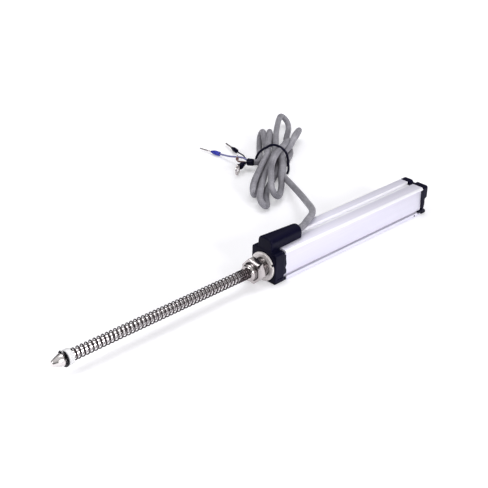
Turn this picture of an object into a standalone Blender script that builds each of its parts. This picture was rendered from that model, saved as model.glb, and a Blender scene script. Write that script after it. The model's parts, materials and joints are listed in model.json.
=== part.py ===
# Spring return linear potentiometer: a square aluminium housing with black end caps, a sprung rod that
# is pushed in along +X, and a tied hank of cable behind it. Metres, +Z up. The origin is on the flat
# underside of the housing, half way along it.
import math

import bmesh
import bpy
from mathutils import Matrix, Vector

MM = 0.001

# Clearances
STATIC_GAP = 0.3 * MM  # between pieces that are fixed to each other
RUNNING_GAP = 0.1 * MM  # around the rod in its bearing

# Travel
STROKE = 75.0 * MM
BEYOND_STROKE = 56.0 * MM  # housing length that the caps, bearing and carriage need
PUSHED_IN_REACH = 62.0 * MM  # tip's end in front of the cap's face with the rod pushed in

# Housing
HOUSING_WIDTH = 18.0 * MM
HOUSING_HEIGHT = 18.0 * MM
CORNER_RADIUS = 1.2 * MM
AXIS_BELOW_TOP = 9.7 * MM  # rod axis under the housing's top
PANEL_DEPTH = 0.8 * MM  # how far the side panels lie in
PANEL_BOTTOM = 3.2 * MM
TOP_BAND = 1.4 * MM  # solid edge above each side panel
FOOT_GROOVE_BOTTOM = 2.5 * MM
FOOT_GROOVE_DEPTH = 1.5 * MM
SIDE_WALL = 0.7 * MM  # behind the foot grooves
TOP_GROOVE_WIDTH = 3.8 * MM
TOP_GROOVE_DEPTH = 2.0 * MM
TOP_GROOVE_OFFSET = 0.8 * MM  # the groove lies a little behind the middle
CAVITY_FLOOR = 1.8 * MM
ROOF_THICKNESS = 1.2 * MM
RAIL_DEPTH = 0.9 * MM  # the board rests on two rails inside the tube
RAIL_THICKNESS = 0.8 * MM
DIMPLE_DIAMETER = 1.0 * MM  # staking mark in the foot strip
DIMPLE_DEPTH = 1.0 * MM
DIMPLE_FROM_END = 6.0 * MM

# End caps
FRONT_CAP_DEPTH = 6.6 * MM
REAR_CAP_DEPTH = 3.7 * MM
GASKET_THICKNESS = 0.5 * MM
GASKET_MARGIN = 0.7 * MM  # from the underside to the gasket's lower edge
PLUG_LENGTH = 3.0 * MM  # how far each cap's plug reaches into the tube
TONGUE_REACH = 1.2 * MM  # side tongues of the caps lie in the side panels
TONGUE_STEP = 0.1 * MM  # and stand a little below the caps' sides
FOOT_REACH = 0.7 * MM  # front cap's feet beside the tube's foot strips
FOOT_LOW = 0.3 * MM
FOOT_TOP = 2.3 * MM
CAP_GROOVE_DEPTH = 0.4 * MM  # foot groove carried on along the front cap's sides
REAR_STEP_BELOW_TOP = 7.7 * MM
REAR_STEP_DEPTH = 1.8 * MM
REAR_FOOT_HEIGHT = 2.6 * MM
LUG_REACH = 3.2 * MM  # rear cap's locking lugs in the foot grooves
LUG_BOTTOM = 1.5 * MM

# Cable entry on the front cap
GLAND_WIDTH = 8.0 * MM  # at the cable's end
GLAND_FRONT_WIDTH = 10.4 * MM
GLAND_RISE = 6.9 * MM  # above the clearance over the housing
GLAND_END = 25.3 * MM  # from the front face
GLAND_ROUNDING = 1.2 * MM
GLAND_SHOULDER = 3.0 * MM  # radius of its top corners at the front
GLAND_SETBACK = 0.2 * MM
GLAND_EDGE = 0.7 * MM  # rounding of its front edge
WIRE_SLOT_WIDTH = 5.2 * MM
WIRE_SLOT_FRONT = 3.4 * MM
WIRE_SLOT_BACK = 6.0 * MM
SLOT_WALL = 0.7 * MM  # between the wire way and the bushing

# Bushing, nut and washer
THREAD_DIAMETER = 10.0 * MM
THREAD_START = 0.3 * MM  # distances in front of the cap's face
THREAD_END = 11.0 * MM
NOSE_END = 12.9 * MM
NOSE_RIM = 0.5 * MM  # flat front face outside the spring
NECK_WALL = 0.9 * MM  # around the bearing, inside the cap
BEARING_WALL = 0.6 * MM
LIP_THICKNESS = 1.2 * MM  # closes the bushing's bore in front of the bearing
LIP_CLEARANCE = 0.4 * MM
WASHER_RIM = 3.2 * MM  # beyond the thread
WASHER_THICKNESS = 1.0 * MM
WASHER_NOTCH_WIDTH = 1.3 * MM
WASHER_NOTCH_DEPTH = 1.5 * MM
WASHER_NOTCH_ANGLE = math.radians(24)
NUT_BACK = 5.4 * MM  # the nut stands off the washer
NUT_WALL = 1.2 * MM  # from the thread to the flats
NUT_THICKNESS = 4.2 * MM
NUT_CHAMFER = 0.6 * MM
NUT_TURN = math.radians(18)

# Rod and what it carries
ROD_DIAMETER = 4.0 * MM
TIP_LENGTH = 6.0 * MM
TIP_DIAMETER = 6.4 * MM
TIP_BLUNT_DIAMETER = 2.6 * MM
TIP_BASE_LENGTH = 1.3 * MM
TIP_THREAD_DIAMETER = 2.5 * MM
TIP_THREAD_LENGTH = 3.6 * MM
CLIP_THICKNESS = 0.6 * MM
CLIP_DIAMETER = 8.4 * MM
CLIP_GROOVE_DEPTH = 0.5 * MM
COLLAR_DIAMETER = 8.0 * MM
COLLAR_THICKNESS = 3.4 * MM
SPRING_WIRE = 0.7 * MM
SPRING_CLEARANCE = 0.45 * MM  # around the rod
SPRING_TURNS = 43
SPRING_CLOSED_TURNS = 4
SPRING_CLOSED_PITCH = 1.0 * MM
POINTS_PER_TURN = 8

# Inside the housing
CARRIAGE_LENGTH = 12.0 * MM
WIPER_SPACE = 1.5 * MM  # between the carriage and the board
BUFFER_THICKNESS = 1.8 * MM
ROD_TAIL = 1.5 * MM  # rod behind its last ring
RING_DIAMETER = 6.6 * MM
BOARD_THICKNESS = 1.0 * MM
BOARD_SETBACK = 0.6 * MM  # from each plug's end to the board
WIPER_WIDTH = 7.6 * MM
BOARD_COVER = 1.4 * MM  # above the board, under the roof
WIPER_FINGERS = 4
WIPER_SLOT = 0.6 * MM
WIPER_SHEET = 0.25 * MM
TERMINALS = 3
TERMINAL_SPACING = 1.6 * MM
TERMINAL_DIAMETER = 0.8 * MM
TERMINAL_HEIGHT = 0.5 * MM
LEAD_DIAMETER = 0.8 * MM

# Cable and its far end
CABLE_DIAMETER = 4.0 * MM
HANK_TOP = 13.6 * MM
HANK_CENTRE = Vector((0.0475, 0.105, 0.0))
HANK_ANGLE = math.radians(40)
WAIST_NEAR = 11.4 * MM  # from the hank's middle line to its sides at the tie
WAIST_FAR = 9.6 * MM
TIE_DIAMETER = 1.2 * MM
TIE_STATION = -5.0 * MM  # along the hank
TIE_CORNER = 1.5 * MM

# Values that follow from the sizes above
HOUSING_LENGTH = STROKE + BEYOND_STROKE
FRONT = -HOUSING_LENGTH / 2
BACK = HOUSING_LENGTH / 2
HALF_WIDTH = HOUSING_WIDTH / 2
AXIS_HEIGHT = HOUSING_HEIGHT - AXIS_BELOW_TOP
PANEL_TOP = HOUSING_HEIGHT - TOP_BAND
DIMPLE_HEIGHT = FOOT_GROOVE_BOTTOM / 2
REAR_STEP_HEIGHT = HOUSING_HEIGHT - REAR_STEP_BELOW_TOP
CAVITY_HALF = HALF_WIDTH - FOOT_GROOVE_DEPTH - SIDE_WALL
TUBE_FRONT = FRONT + FRONT_CAP_DEPTH + GASKET_THICKNESS + 2 * STATIC_GAP
TUBE_BACK = BACK - REAR_CAP_DEPTH - GASKET_THICKNESS - 2 * STATIC_GAP
CAVITY_ROOF = HOUSING_HEIGHT - TOP_GROOVE_DEPTH - ROOF_THICKNESS
BOARD_TOP = CAVITY_ROOF - BOARD_COVER
BOARD_BOTTOM = BOARD_TOP - BOARD_THICKNESS
RAIL_TOP = BOARD_BOTTOM - STATIC_GAP
PANEL_Y = HALF_WIDTH - PANEL_DEPTH
PLUG_HALF = CAVITY_HALF - RAIL_DEPTH - STATIC_GAP
PLUG_FLOOR = CAVITY_FLOOR + STATIC_GAP
PLUG_ROOF = CAVITY_ROOF - STATIC_GAP
FRONT_PLUG_END = TUBE_FRONT + PLUG_LENGTH
REAR_PLUG_END = TUBE_BACK - PLUG_LENGTH
GLAND_BASE = HOUSING_HEIGHT + STATIC_GAP
GLAND_BORE = CABLE_DIAMETER + 2 * STATIC_GAP
GLAND_HEIGHT = GLAND_BASE + GLAND_RISE - GLAND_WIDTH / 2  # the cable's axis, in the barrel's round top
ROD_BORE = ROD_DIAMETER + 2 * STATIC_GAP
CLIP_GROOVE_DIAMETER = ROD_DIAMETER - 2 * CLIP_GROOVE_DEPTH
GROOVE_BORE = CLIP_GROOVE_DIAMETER + 2 * STATIC_GAP
SPRING_DIAMETER = ROD_DIAMETER + 2 * SPRING_CLEARANCE + 2 * SPRING_WIRE
NOSE_FACE_DIAMETER = SPRING_DIAMETER + 2 * NOSE_RIM
BEARING_DIAMETER = ROD_DIAMETER + 2 * RUNNING_GAP + 2 * BEARING_WALL
BUSHING_BORE = BEARING_DIAMETER + 2 * STATIC_GAP
NECK_DIAMETER = BUSHING_BORE + 2 * NECK_WALL
WASHER_DIAMETER = THREAD_DIAMETER + 2 * WASHER_RIM
NUT_WIDTH = THREAD_DIAMETER + 2 * NUT_WALL  # across flats
BUFFER_DIAMETER = 2 * (min(BOARD_BOTTOM - AXIS_HEIGHT, AXIS_HEIGHT - CAVITY_FLOOR) - STATIC_GAP)
CARRIAGE_TOP = BOARD_BOTTOM - WIPER_SPACE
TIP_END = FRONT - PUSHED_IN_REACH - STROKE
TIP_BASE = TIP_END + TIP_LENGTH
CLIP_START = TIP_BASE + 2 * STATIC_GAP
COLLAR_START = CLIP_START + CLIP_THICKNESS + STATIC_GAP
SPRING_START = COLLAR_START + COLLAR_THICKNESS + STATIC_GAP
SPRING_END = FRONT - NOSE_END - STATIC_GAP
BUFFER_START = FRONT_PLUG_END + STATIC_GAP
CARRIAGE_START = BUFFER_START + BUFFER_THICKNESS + STATIC_GAP
RING_START = CARRIAGE_START + CARRIAGE_LENGTH + STATIC_GAP
ROD_END = RING_START + CLIP_THICKNESS + STATIC_GAP + ROD_TAIL
WASHER_START = FRONT - STATIC_GAP
NUT_START = FRONT - NUT_BACK
CABLE_START = FRONT + 10.0 * MM
HANK_BOTTOM = TIE_DIAMETER + STATIC_GAP  # the tie passes under it

# Route of the cable from the gland over the housing's far edge and down to the hank
LEAD_ROUTE = [
    (CABLE_START, 0.0, GLAND_HEIGHT),
    (-0.0460, 0.0, GLAND_HEIGHT),
    (-0.0388, 0.0, GLAND_HEIGHT),
    (-0.0334, 0.0014, GLAND_HEIGHT),
    (-0.0270, 0.0045, GLAND_HEIGHT - 0.2 * MM),
    (-0.0204, 0.0076, GLAND_HEIGHT - 0.5 * MM),
    (-0.0148, 0.0120, GLAND_HEIGHT - 1.2 * MM),
    (-0.0102, 0.0173, GLAND_HEIGHT - 2.5 * MM),
    (-0.0060, 0.0230, 0.0172),
    (0.0024, 0.0343, 0.0142),
    (0.0105, 0.0458, 0.0113),
    (0.0185, 0.0574, 0.0084),
]
LEAD_END = (-0.0412, -0.0146, 0.0060)  # against the hank: along it, across it, height

# Outline of the hank, seen from above: distance along it and across it
HANK_OUTLINE = [
    (-0.0785, -0.0030), (-0.0765, 0.0026), (-0.0710, 0.0066), (-0.0620, 0.0085), (-0.0480, 0.0084),
    (-0.0340, 0.0074), (-0.0230, 0.0070), (-0.0180, 0.0086), (-0.0140, 0.0093),
    (TIE_STATION - 0.004, WAIST_FAR - 0.2 * MM), (TIE_STATION, WAIST_FAR), (0.0060, 0.0100), (0.0250, 0.0112),
    (0.0400, 0.0124), (0.0440, 0.0116), (0.0466, 0.0085), (0.0500, 0.0050), (0.0540, 0.0024),
    (0.0690, 0.0018), (0.0740, -0.0002), (0.0756, -0.0032), (0.0742, -0.0064), (0.0680, -0.0083),
    (0.0595, -0.0095), (0.0580, -0.0150), (0.0545, -0.0178), (0.0480, -0.0175), (0.0360, -0.0160),
    (0.0240, -0.0146), (0.0100, -0.0142), (0.0030, -0.0125), (TIE_STATION + 0.004, -WAIST_NEAR),
    (TIE_STATION - 0.004, -WAIST_NEAR), (-0.0180, -0.0108), (-0.0360, -0.0114), (-0.0440, -0.0121),
    (-0.0560, -0.0124), (-0.0680, -0.0114), (-0.0750, -0.0084),
]

# Where the cable's far end and its wires lie
END_SLEEVE = {"start": (0.0305, 0.10425, 0.0055), "towards": (-0.4, 0.917, -0.09),
              "length": 4.4 * MM, "diameter": 4.8 * MM}
WIRE_ROUTES = {
    "wire_black": (1.0 * MM, [(0.02986, 0.10914, 0.00540), (0.0312, 0.1125, 0.0054),
                              (0.0350, 0.1182, 0.0044), (0.0382, 0.1252, 0.0030), (0.0404, 0.1300, 0.0021)]),
    "wire_blue": (1.2 * MM, [(0.02886, 0.10870, 0.00627), (0.0288, 0.1120, 0.0066),
                             (0.0288, 0.1170, 0.0056), (0.0292, 0.1255, 0.0032), (0.0290, 0.1344, 0.0019)]),
    "wire_brown": (1.0 * MM, [(0.02940, 0.10892, 0.00407), (0.0297, 0.1115, 0.0036), (0.0297, 0.1142, 0.0028),
                              (0.0287, 0.1163, 0.0027), (0.0275, 0.1163, 0.0038), (0.0269, 0.1158, 0.0046)]),
    "wire_shield": (2.0 * MM, [(0.02757, 0.10814, 0.00447), (0.0266, 0.1090, 0.0044),
                               (0.0250, 0.1088, 0.0042)]),
}
FERRULES = {
    "ferrule_black": {"start": (0.04055, 0.1304, 0.0021), "towards": (0.28, 0.96, -0.03),
                      "sleeve": 2.9 * MM, "sleeve_length": 6.5 * MM, "pin": 1.2 * MM, "pin_length": 9.0 * MM},
    "ferrule_blue": {"start": (0.02895, 0.1348, 0.0019), "towards": (-0.16, 0.987, -0.03),
                     "sleeve": 3.0 * MM, "sleeve_length": 7.0 * MM, "pin": 0.9 * MM, "pin_length": 9.5 * MM},
    "ferrule_brown": {"start": (0.0266, 0.1155, 0.0050), "towards": (-0.55, -0.55, 0.63),
                      "sleeve": 2.0 * MM, "sleeve_length": 4.5 * MM, "pin": 0.8 * MM, "pin_length": 5.0 * MM},
}
RING_TERMINAL = {"start": (0.0246, 0.1086, 0.0042), "towards": (-0.9, -0.43, 0.0),
                 "sleeve": 3.8 * MM, "sleeve_length": 4.4 * MM, "ring": 7.6 * MM, "hole": 4.2 * MM,
                 "sheet": 0.8 * MM, "centre_at": 8.6 * MM}


def clear_scene():
    for item in list(bpy.data.objects):
        bpy.data.objects.remove(item, do_unlink=True)


def make_collections():
    parts = bpy.data.collections.new("spring_return_linear_potentiometer")
    cutters = bpy.data.collections.new("cutters")
    bpy.context.scene.collection.children.link(parts)
    bpy.context.scene.collection.children.link(cutters)
    return parts, cutters


def make_material(name, color, roughness, metallic):
    material = bpy.data.materials.new(name)
    material.use_nodes = True
    shader = material.node_tree.nodes["Principled BSDF"]
    shader.inputs["Base Color"].default_value = (*color, 1.0)
    shader.inputs["Roughness"].default_value = roughness
    shader.inputs["Metallic"].default_value = metallic
    material.diffuse_color = (*color, 1.0)
    return material


def finish(item, material, angle=35):
    """Puts a finished piece in the parts collection with its material, and shades its round faces smooth."""
    for owner in list(item.users_collection):
        owner.objects.unlink(item)
    PARTS.objects.link(item)
    item.data.materials.clear()
    item.data.materials.append(material)
    if item.type == "MESH":
        item.data.shade_smooth()
        item.data.set_sharp_from_angle(angle=math.radians(angle))
    return item


def cutter(item):
    for owner in list(item.users_collection):
        owner.objects.unlink(item)
    CUTTERS.objects.link(item)
    item.hide_render = True
    item.display_type = "WIRE"
    return item


def cut(item, tool, operation="DIFFERENCE"):
    modifier = item.modifiers.new("cut", "BOOLEAN")
    modifier.operation = operation
    modifier.solver = "EXACT"
    modifier.object = cutter(tool)
    return item


def settle(item):
    """Turns a curve, or an object with modifiers, into one plain mesh with its place in the mesh."""
    bpy.context.view_layer.update()
    graph = bpy.context.evaluated_depsgraph_get()
    mesh = bpy.data.meshes.new_from_object(item.evaluated_get(graph))
    mesh.transform(item.matrix_world)
    shape = bmesh.new()
    shape.from_mesh(mesh)
    bmesh.ops.remove_doubles(shape, verts=shape.verts, dist=0.000001)
    bmesh.ops.recalc_face_normals(shape, faces=shape.faces)
    shape.to_mesh(mesh)
    shape.free()
    name = item.name
    bpy.data.objects.remove(item, do_unlink=True)
    solid = bpy.data.objects.new(name, mesh)
    bpy.context.scene.collection.objects.link(solid)
    return solid


def box(name, low, high):
    mesh = bpy.data.meshes.new(name)
    shape = bmesh.new()
    bmesh.ops.create_cube(shape, size=1.0)
    bmesh.ops.scale(shape, vec=[high[i] - low[i] for i in range(3)], verts=shape.verts)
    bmesh.ops.translate(shape, vec=[(high[i] + low[i]) / 2 for i in range(3)], verts=shape.verts)
    shape.to_mesh(mesh)
    shape.free()
    item = bpy.data.objects.new(name, mesh)
    bpy.context.scene.collection.objects.link(item)
    return item


def rounded(corners, steps=3):
    """Corner points (a, b, radius) of a closed outline become its points, with arcs at the round ones."""
    points = []
    for index, (a, b, radius) in enumerate(corners):
        here = Vector((a, b))
        before = Vector(corners[index - 1][:2]) - here
        after = Vector(corners[(index + 1) % len(corners)][:2]) - here
        if radius <= 0:
            points.append((a, b))
            continue
        half = before.angle(after) / 2
        reach = radius / math.tan(half)
        start = here + before.normalized() * reach
        end = here + after.normalized() * reach
        centre = here + (before.normalized() + after.normalized()).normalized() * (radius / math.sin(half))
        first = math.atan2(start.y - centre.y, start.x - centre.x)
        turn = math.atan2(end.y - centre.y, end.x - centre.x) - first
        turn = (turn + math.pi) % (2 * math.pi) - math.pi
        for step in range(steps + 1):
            angle = first + turn * step / steps
            points.append((centre.x + radius * math.cos(angle), centre.y + radius * math.sin(angle)))
    return points


SECTION = Matrix(((0, 0, 1), (1, 0, 0), (0, 1, 0))).to_4x4()  # outline in (y, z), pushed along x
SIDE = Matrix(((1, 0, 0), (0, 0, -1), (0, 1, 0))).to_4x4()  # outline in (x, z), pushed along -y


def extruded(name, outline, low, high, plane, window=None):
    """A flat closed outline as a filled 2D curve, extruded between two places along its normal."""
    curve = bpy.data.curves.new(name, "CURVE")
    curve.dimensions = "2D"
    curve.fill_mode = "BOTH"
    curve.extrude = (high - low) / 2
    for loop in [outline, window] if window else [outline]:
        spline = curve.splines.new("POLY")
        spline.points.add(len(loop) - 1)
        for point, (a, b) in zip(spline.points, loop):
            point.co = (a, b, 0.0, 1.0)
        spline.use_cyclic_u = True
    item = bpy.data.objects.new(name, curve)
    bpy.context.scene.collection.objects.link(item)
    item.matrix_world = plane @ Matrix.Translation((0, 0, (low + high) / 2))
    return settle(item)


def turned(name, profile, start, towards=(1, 0, 0), sides=32, ring=False):
    """A profile of (distance along the axis, radius) turned about the axis by a Screw modifier.

    The profile runs along its outer side from the far end to the near end; a ring's goes on along its bore.
    """
    mesh = bpy.data.meshes.new(name)
    shape = bmesh.new()
    verts = [shape.verts.new((radius, 0.0, along)) for along, radius in profile]
    pairs = list(zip(verts, verts[1:]))
    if ring:
        pairs.append((verts[-1], verts[0]))
    for a, b in pairs:
        shape.edges.new((a, b))
    shape.to_mesh(mesh)
    shape.free()
    item = bpy.data.objects.new(name, mesh)
    bpy.context.scene.collection.objects.link(item)
    screw = item.modifiers.new("turn", "SCREW")
    screw.axis = "Z"
    screw.steps = sides
    screw.render_steps = sides
    screw.use_merge_vertices = True
    screw.merge_threshold = 0.00001
    turn = Vector((0, 0, 1)).rotation_difference(Vector(towards).normalized())
    item.matrix_world = Matrix.Translation(start) @ turn.to_matrix().to_4x4()
    return settle(item)


def rod_piece(name, profile, sides=32, ring=False):
    """A turned piece on the rod's axis; its profile holds places along X."""
    ordered = sorted_profile(profile)
    return turned(name, ordered, (0, 0, AXIS_HEIGHT), (1, 0, 0), sides, ring)


def sorted_profile(profile):
    if profile[0][0] < profile[-1][0]:
        return profile[::-1]
    return profile


def sleeve(low, high, inner, outer):
    """Profile of a plain ring between two places along the axis."""
    return [(high, outer), (low, outer), (low, inner), (high, inner)]


def smooth_route(points, spacing):
    """Evenly spaced points along a smooth curve through the given ones."""
    given = [Vector(point) for point in points]
    dense = []
    for index in range(len(given) - 1):
        a = given[index - 1] if index else given[0] * 2 - given[1]
        b, c = given[index], given[index + 1]
        d = given[index + 2] if index + 2 < len(given) else c * 2 - b
        for step in range(20):
            t = step / 20
            dense.append(0.5 * ((2 * b) + (c - a) * t + (2 * a - 5 * b + 4 * c - d) * t * t
                                + (3 * b - a - 3 * c + d) * t * t * t))
    dense.append(given[-1])
    total = sum((q - p).length for p, q in zip(dense, dense[1:]))
    count = max(2, round(total / spacing))
    route, walked, target = [dense[0]], 0.0, total / count
    for p, q in zip(dense, dense[1:]):
        piece = (q - p).length
        while walked + piece >= target and len(route) < count:
            route.append(p.lerp(q, (target - walked) / piece))
            target += total / count
        walked += piece
    route.append(dense[-1])
    return route


def wire(name, points, diameter, material, cyclic=False, sides_level=2):
    """A round tube along points: a POLY curve with a bevel and filled caps."""
    curve = bpy.data.curves.new(name, "CURVE")
    curve.dimensions = "3D"
    curve.bevel_depth = diameter / 2
    curve.bevel_resolution = sides_level
    curve.render_resolution_u = 0
    curve.use_fill_caps = not cyclic
    spline = curve.splines.new("POLY")
    spline.points.add(len(points) - 1)
    for point, place in zip(spline.points, points):
        point.co = (*place, 1.0)
    spline.use_cyclic_u = cyclic
    item = bpy.data.objects.new(name, curve)
    bpy.context.scene.collection.objects.link(item)
    return finish(item, material)


def outer_section():
    """Half outlines of the housing's section, both sides, as corners (y, z, radius)."""
    def side(sign):
        edge, panel = sign * HALF_WIDTH, sign * PANEL_Y
        groove = sign * (HALF_WIDTH - FOOT_GROOVE_DEPTH)
        return [(edge, 0.0, 0.4 * MM), (edge, FOOT_GROOVE_BOTTOM, 0), (groove, FOOT_GROOVE_BOTTOM, 0),
                (groove, PANEL_BOTTOM, 0), (panel, PANEL_BOTTOM, 0), (panel, PANEL_TOP, 0),
                (edge, PANEL_TOP, 0), (edge, HOUSING_HEIGHT, CORNER_RADIUS)]

    groove_low = TOP_GROOVE_OFFSET - TOP_GROOVE_WIDTH / 2
    groove_high = TOP_GROOVE_OFFSET + TOP_GROOVE_WIDTH / 2
    groove_floor = HOUSING_HEIGHT - TOP_GROOVE_DEPTH
    top = [(groove_high, HOUSING_HEIGHT, 0.3 * MM), (groove_high, groove_floor, 0),
           (groove_low, groove_floor, 0), (groove_low, HOUSING_HEIGHT, 0.3 * MM)]
    return side(1) + top + side(-1)[::-1]


def cavity_section():
    half, rail = CAVITY_HALF, CAVITY_HALF - RAIL_DEPTH
    def side(sign):
        return [(sign * half, CAVITY_FLOOR), (sign * half, RAIL_TOP - RAIL_THICKNESS),
                (sign * rail, RAIL_TOP - RAIL_THICKNESS), (sign * rail, RAIL_TOP),
                (sign * half, RAIL_TOP), (sign * half, CAVITY_ROOF)]
    return side(1) + side(-1)[::-1]


def build_tube():
    outline = rounded(outer_section())
    tube = extruded("housing_tube", outline, TUBE_FRONT, TUBE_BACK, SECTION, cavity_section())
    for sign, name in ((-1, "right"), (1, "left")):
        low, high = sorted((sign * (HALF_WIDTH + MM), sign * (HALF_WIDTH - FOOT_GROOVE_DEPTH + 0.1 * MM)))
        cut(tube, box("foot_seat_" + name, (TUBE_FRONT - MM, low, -MM),
                      (TUBE_FRONT + FOOT_REACH + STATIC_GAP, high, FOOT_GROOVE_BOTTOM + 0.1 * MM)))
        cut(tube, box("lug_seat_" + name, (TUBE_BACK - LUG_REACH, low, LUG_BOTTOM - STATIC_GAP),
                      (TUBE_BACK + MM, high, PANEL_BOTTOM + 0.1 * MM)))
    dimple = turned("dimple", [(DIMPLE_DEPTH, DIMPLE_DIAMETER / 2), (-MM, DIMPLE_DIAMETER / 2)],
                    (TUBE_BACK - DIMPLE_FROM_END, -HALF_WIDTH, DIMPLE_HEIGHT), (0, 1, 0), 12)
    cut(tube, close_ends(dimple))
    return finish(settle(tube), ALUMINIUM)


def close_ends(item):
    """Fills the open ends of a turned bar."""
    shape = bmesh.new()
    shape.from_mesh(item.data)
    bmesh.ops.holes_fill(shape, edges=[edge for edge in shape.edges if edge.is_boundary])
    bmesh.ops.recalc_face_normals(shape, faces=shape.faces)
    shape.to_mesh(item.data)
    shape.free()
    return item


def bar(name, low, high, diameter, height=None, sides=32):
    """A plain round bar along X, used to bore holes."""
    radius = diameter / 2
    item = turned(name, [(high, radius), (low, radius)], (0, 0, AXIS_HEIGHT if height is None else height),
                  (1, 0, 0), sides)
    return close_ends(item)


def cap_section(top_groove):
    top = [(HALF_WIDTH, HOUSING_HEIGHT, CORNER_RADIUS)]
    if top_groove:
        low = TOP_GROOVE_OFFSET - TOP_GROOVE_WIDTH / 2
        high = TOP_GROOVE_OFFSET + TOP_GROOVE_WIDTH / 2
        floor = HOUSING_HEIGHT - TOP_GROOVE_DEPTH * 0.6
        top += [(high, HOUSING_HEIGHT, 0.3 * MM), (high - 0.9 * MM, floor, 0), (low + 0.9 * MM, floor, 0),
                (low, HOUSING_HEIGHT, 0.3 * MM)]
    top += [(-HALF_WIDTH, HOUSING_HEIGHT, CORNER_RADIUS)]
    return rounded([(-HALF_WIDTH, 0.0, 0.5 * MM), (HALF_WIDTH, 0.0, 0.5 * MM)] + top)


def wavy(edge, shares):
    """Points of a tongue's edge, given as shares of the tongues' reach and of the side panel's height."""
    return [(edge + TONGUE_REACH * out, PANEL_BOTTOM + (PANEL_TOP - PANEL_BOTTOM) * up) for out, up in shares]


def tongue(name, sign, root, reach_points):
    """A side tongue of a cap, lying in the housing's side panel."""
    outline = [(root, reach_points[0][1])] + reach_points + [(root, reach_points[-1][1])]
    inner, outer = PANEL_Y + STATIC_GAP, HALF_WIDTH - TONGUE_STEP
    low, high = (-outer, -inner) if sign > 0 else (inner, outer)
    return extruded(name, outline, low, high, SIDE)


def gland_outline(place, base, inset=0.0):
    """The gland's outline at one place along X: flat sides, and a top that is rounder towards the cable."""
    share = (place - FRONT) / GLAND_END
    half = (GLAND_FRONT_WIDTH + (GLAND_WIDTH - GLAND_FRONT_WIDTH) * share) / 2
    shoulder = min(GLAND_SHOULDER + (GLAND_WIDTH / 2 - GLAND_SHOULDER) * share, half - 0.05 * MM)
    half, top, radius = half - inset, GLAND_BASE + GLAND_RISE - inset, max(shoulder - inset, 0.1 * MM)
    corners = [(-half, base, 0), (half, base, 0), (half, top, radius), (-half, top, radius)]
    return [(place, y, z) for y, z in rounded(corners, 6)]


def lofted(name, outlines):
    """A closed body through outlines that have the same number of points."""
    mesh = bpy.data.meshes.new(name)
    shape = bmesh.new()
    rings = [[shape.verts.new(point) for point in outline] for outline in outlines]
    for ring, after in zip(rings, rings[1:]):
        for index in range(len(ring)):
            other = (index + 1) % len(ring)
            shape.faces.new((ring[index], ring[other], after[other], after[index]))
    shape.faces.new(rings[0])
    shape.faces.new(rings[-1])
    bmesh.ops.recalc_face_normals(shape, faces=shape.faces)
    shape.to_mesh(mesh)
    shape.free()
    item = bpy.data.objects.new(name, mesh)
    bpy.context.scene.collection.objects.link(item)
    return item


def gland_body():
    """The cable gland: a broad front on the cap that narrows to a round-topped barrel over the housing."""
    start, end, step = FRONT + GLAND_SETBACK, FRONT + GLAND_END, FRONT + FRONT_CAP_DEPTH - 0.4 * MM
    in_cap = HOUSING_HEIGHT - MM
    outlines = [gland_outline(start, in_cap, GLAND_EDGE),
                gland_outline(start + GLAND_EDGE * 0.3, in_cap, GLAND_EDGE * 0.3),
                gland_outline(start + GLAND_EDGE, in_cap), gland_outline(step, in_cap),
                gland_outline(step + 0.2 * MM, GLAND_BASE)]
    for angle in (90, 60, 30, 0):
        turn = math.radians(angle)
        outlines.append(gland_outline(end - GLAND_ROUNDING * (1 - math.cos(turn)), GLAND_BASE,
                                      GLAND_ROUNDING * (1 - math.sin(turn))))
    return lofted("gland_body", outlines)


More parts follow.
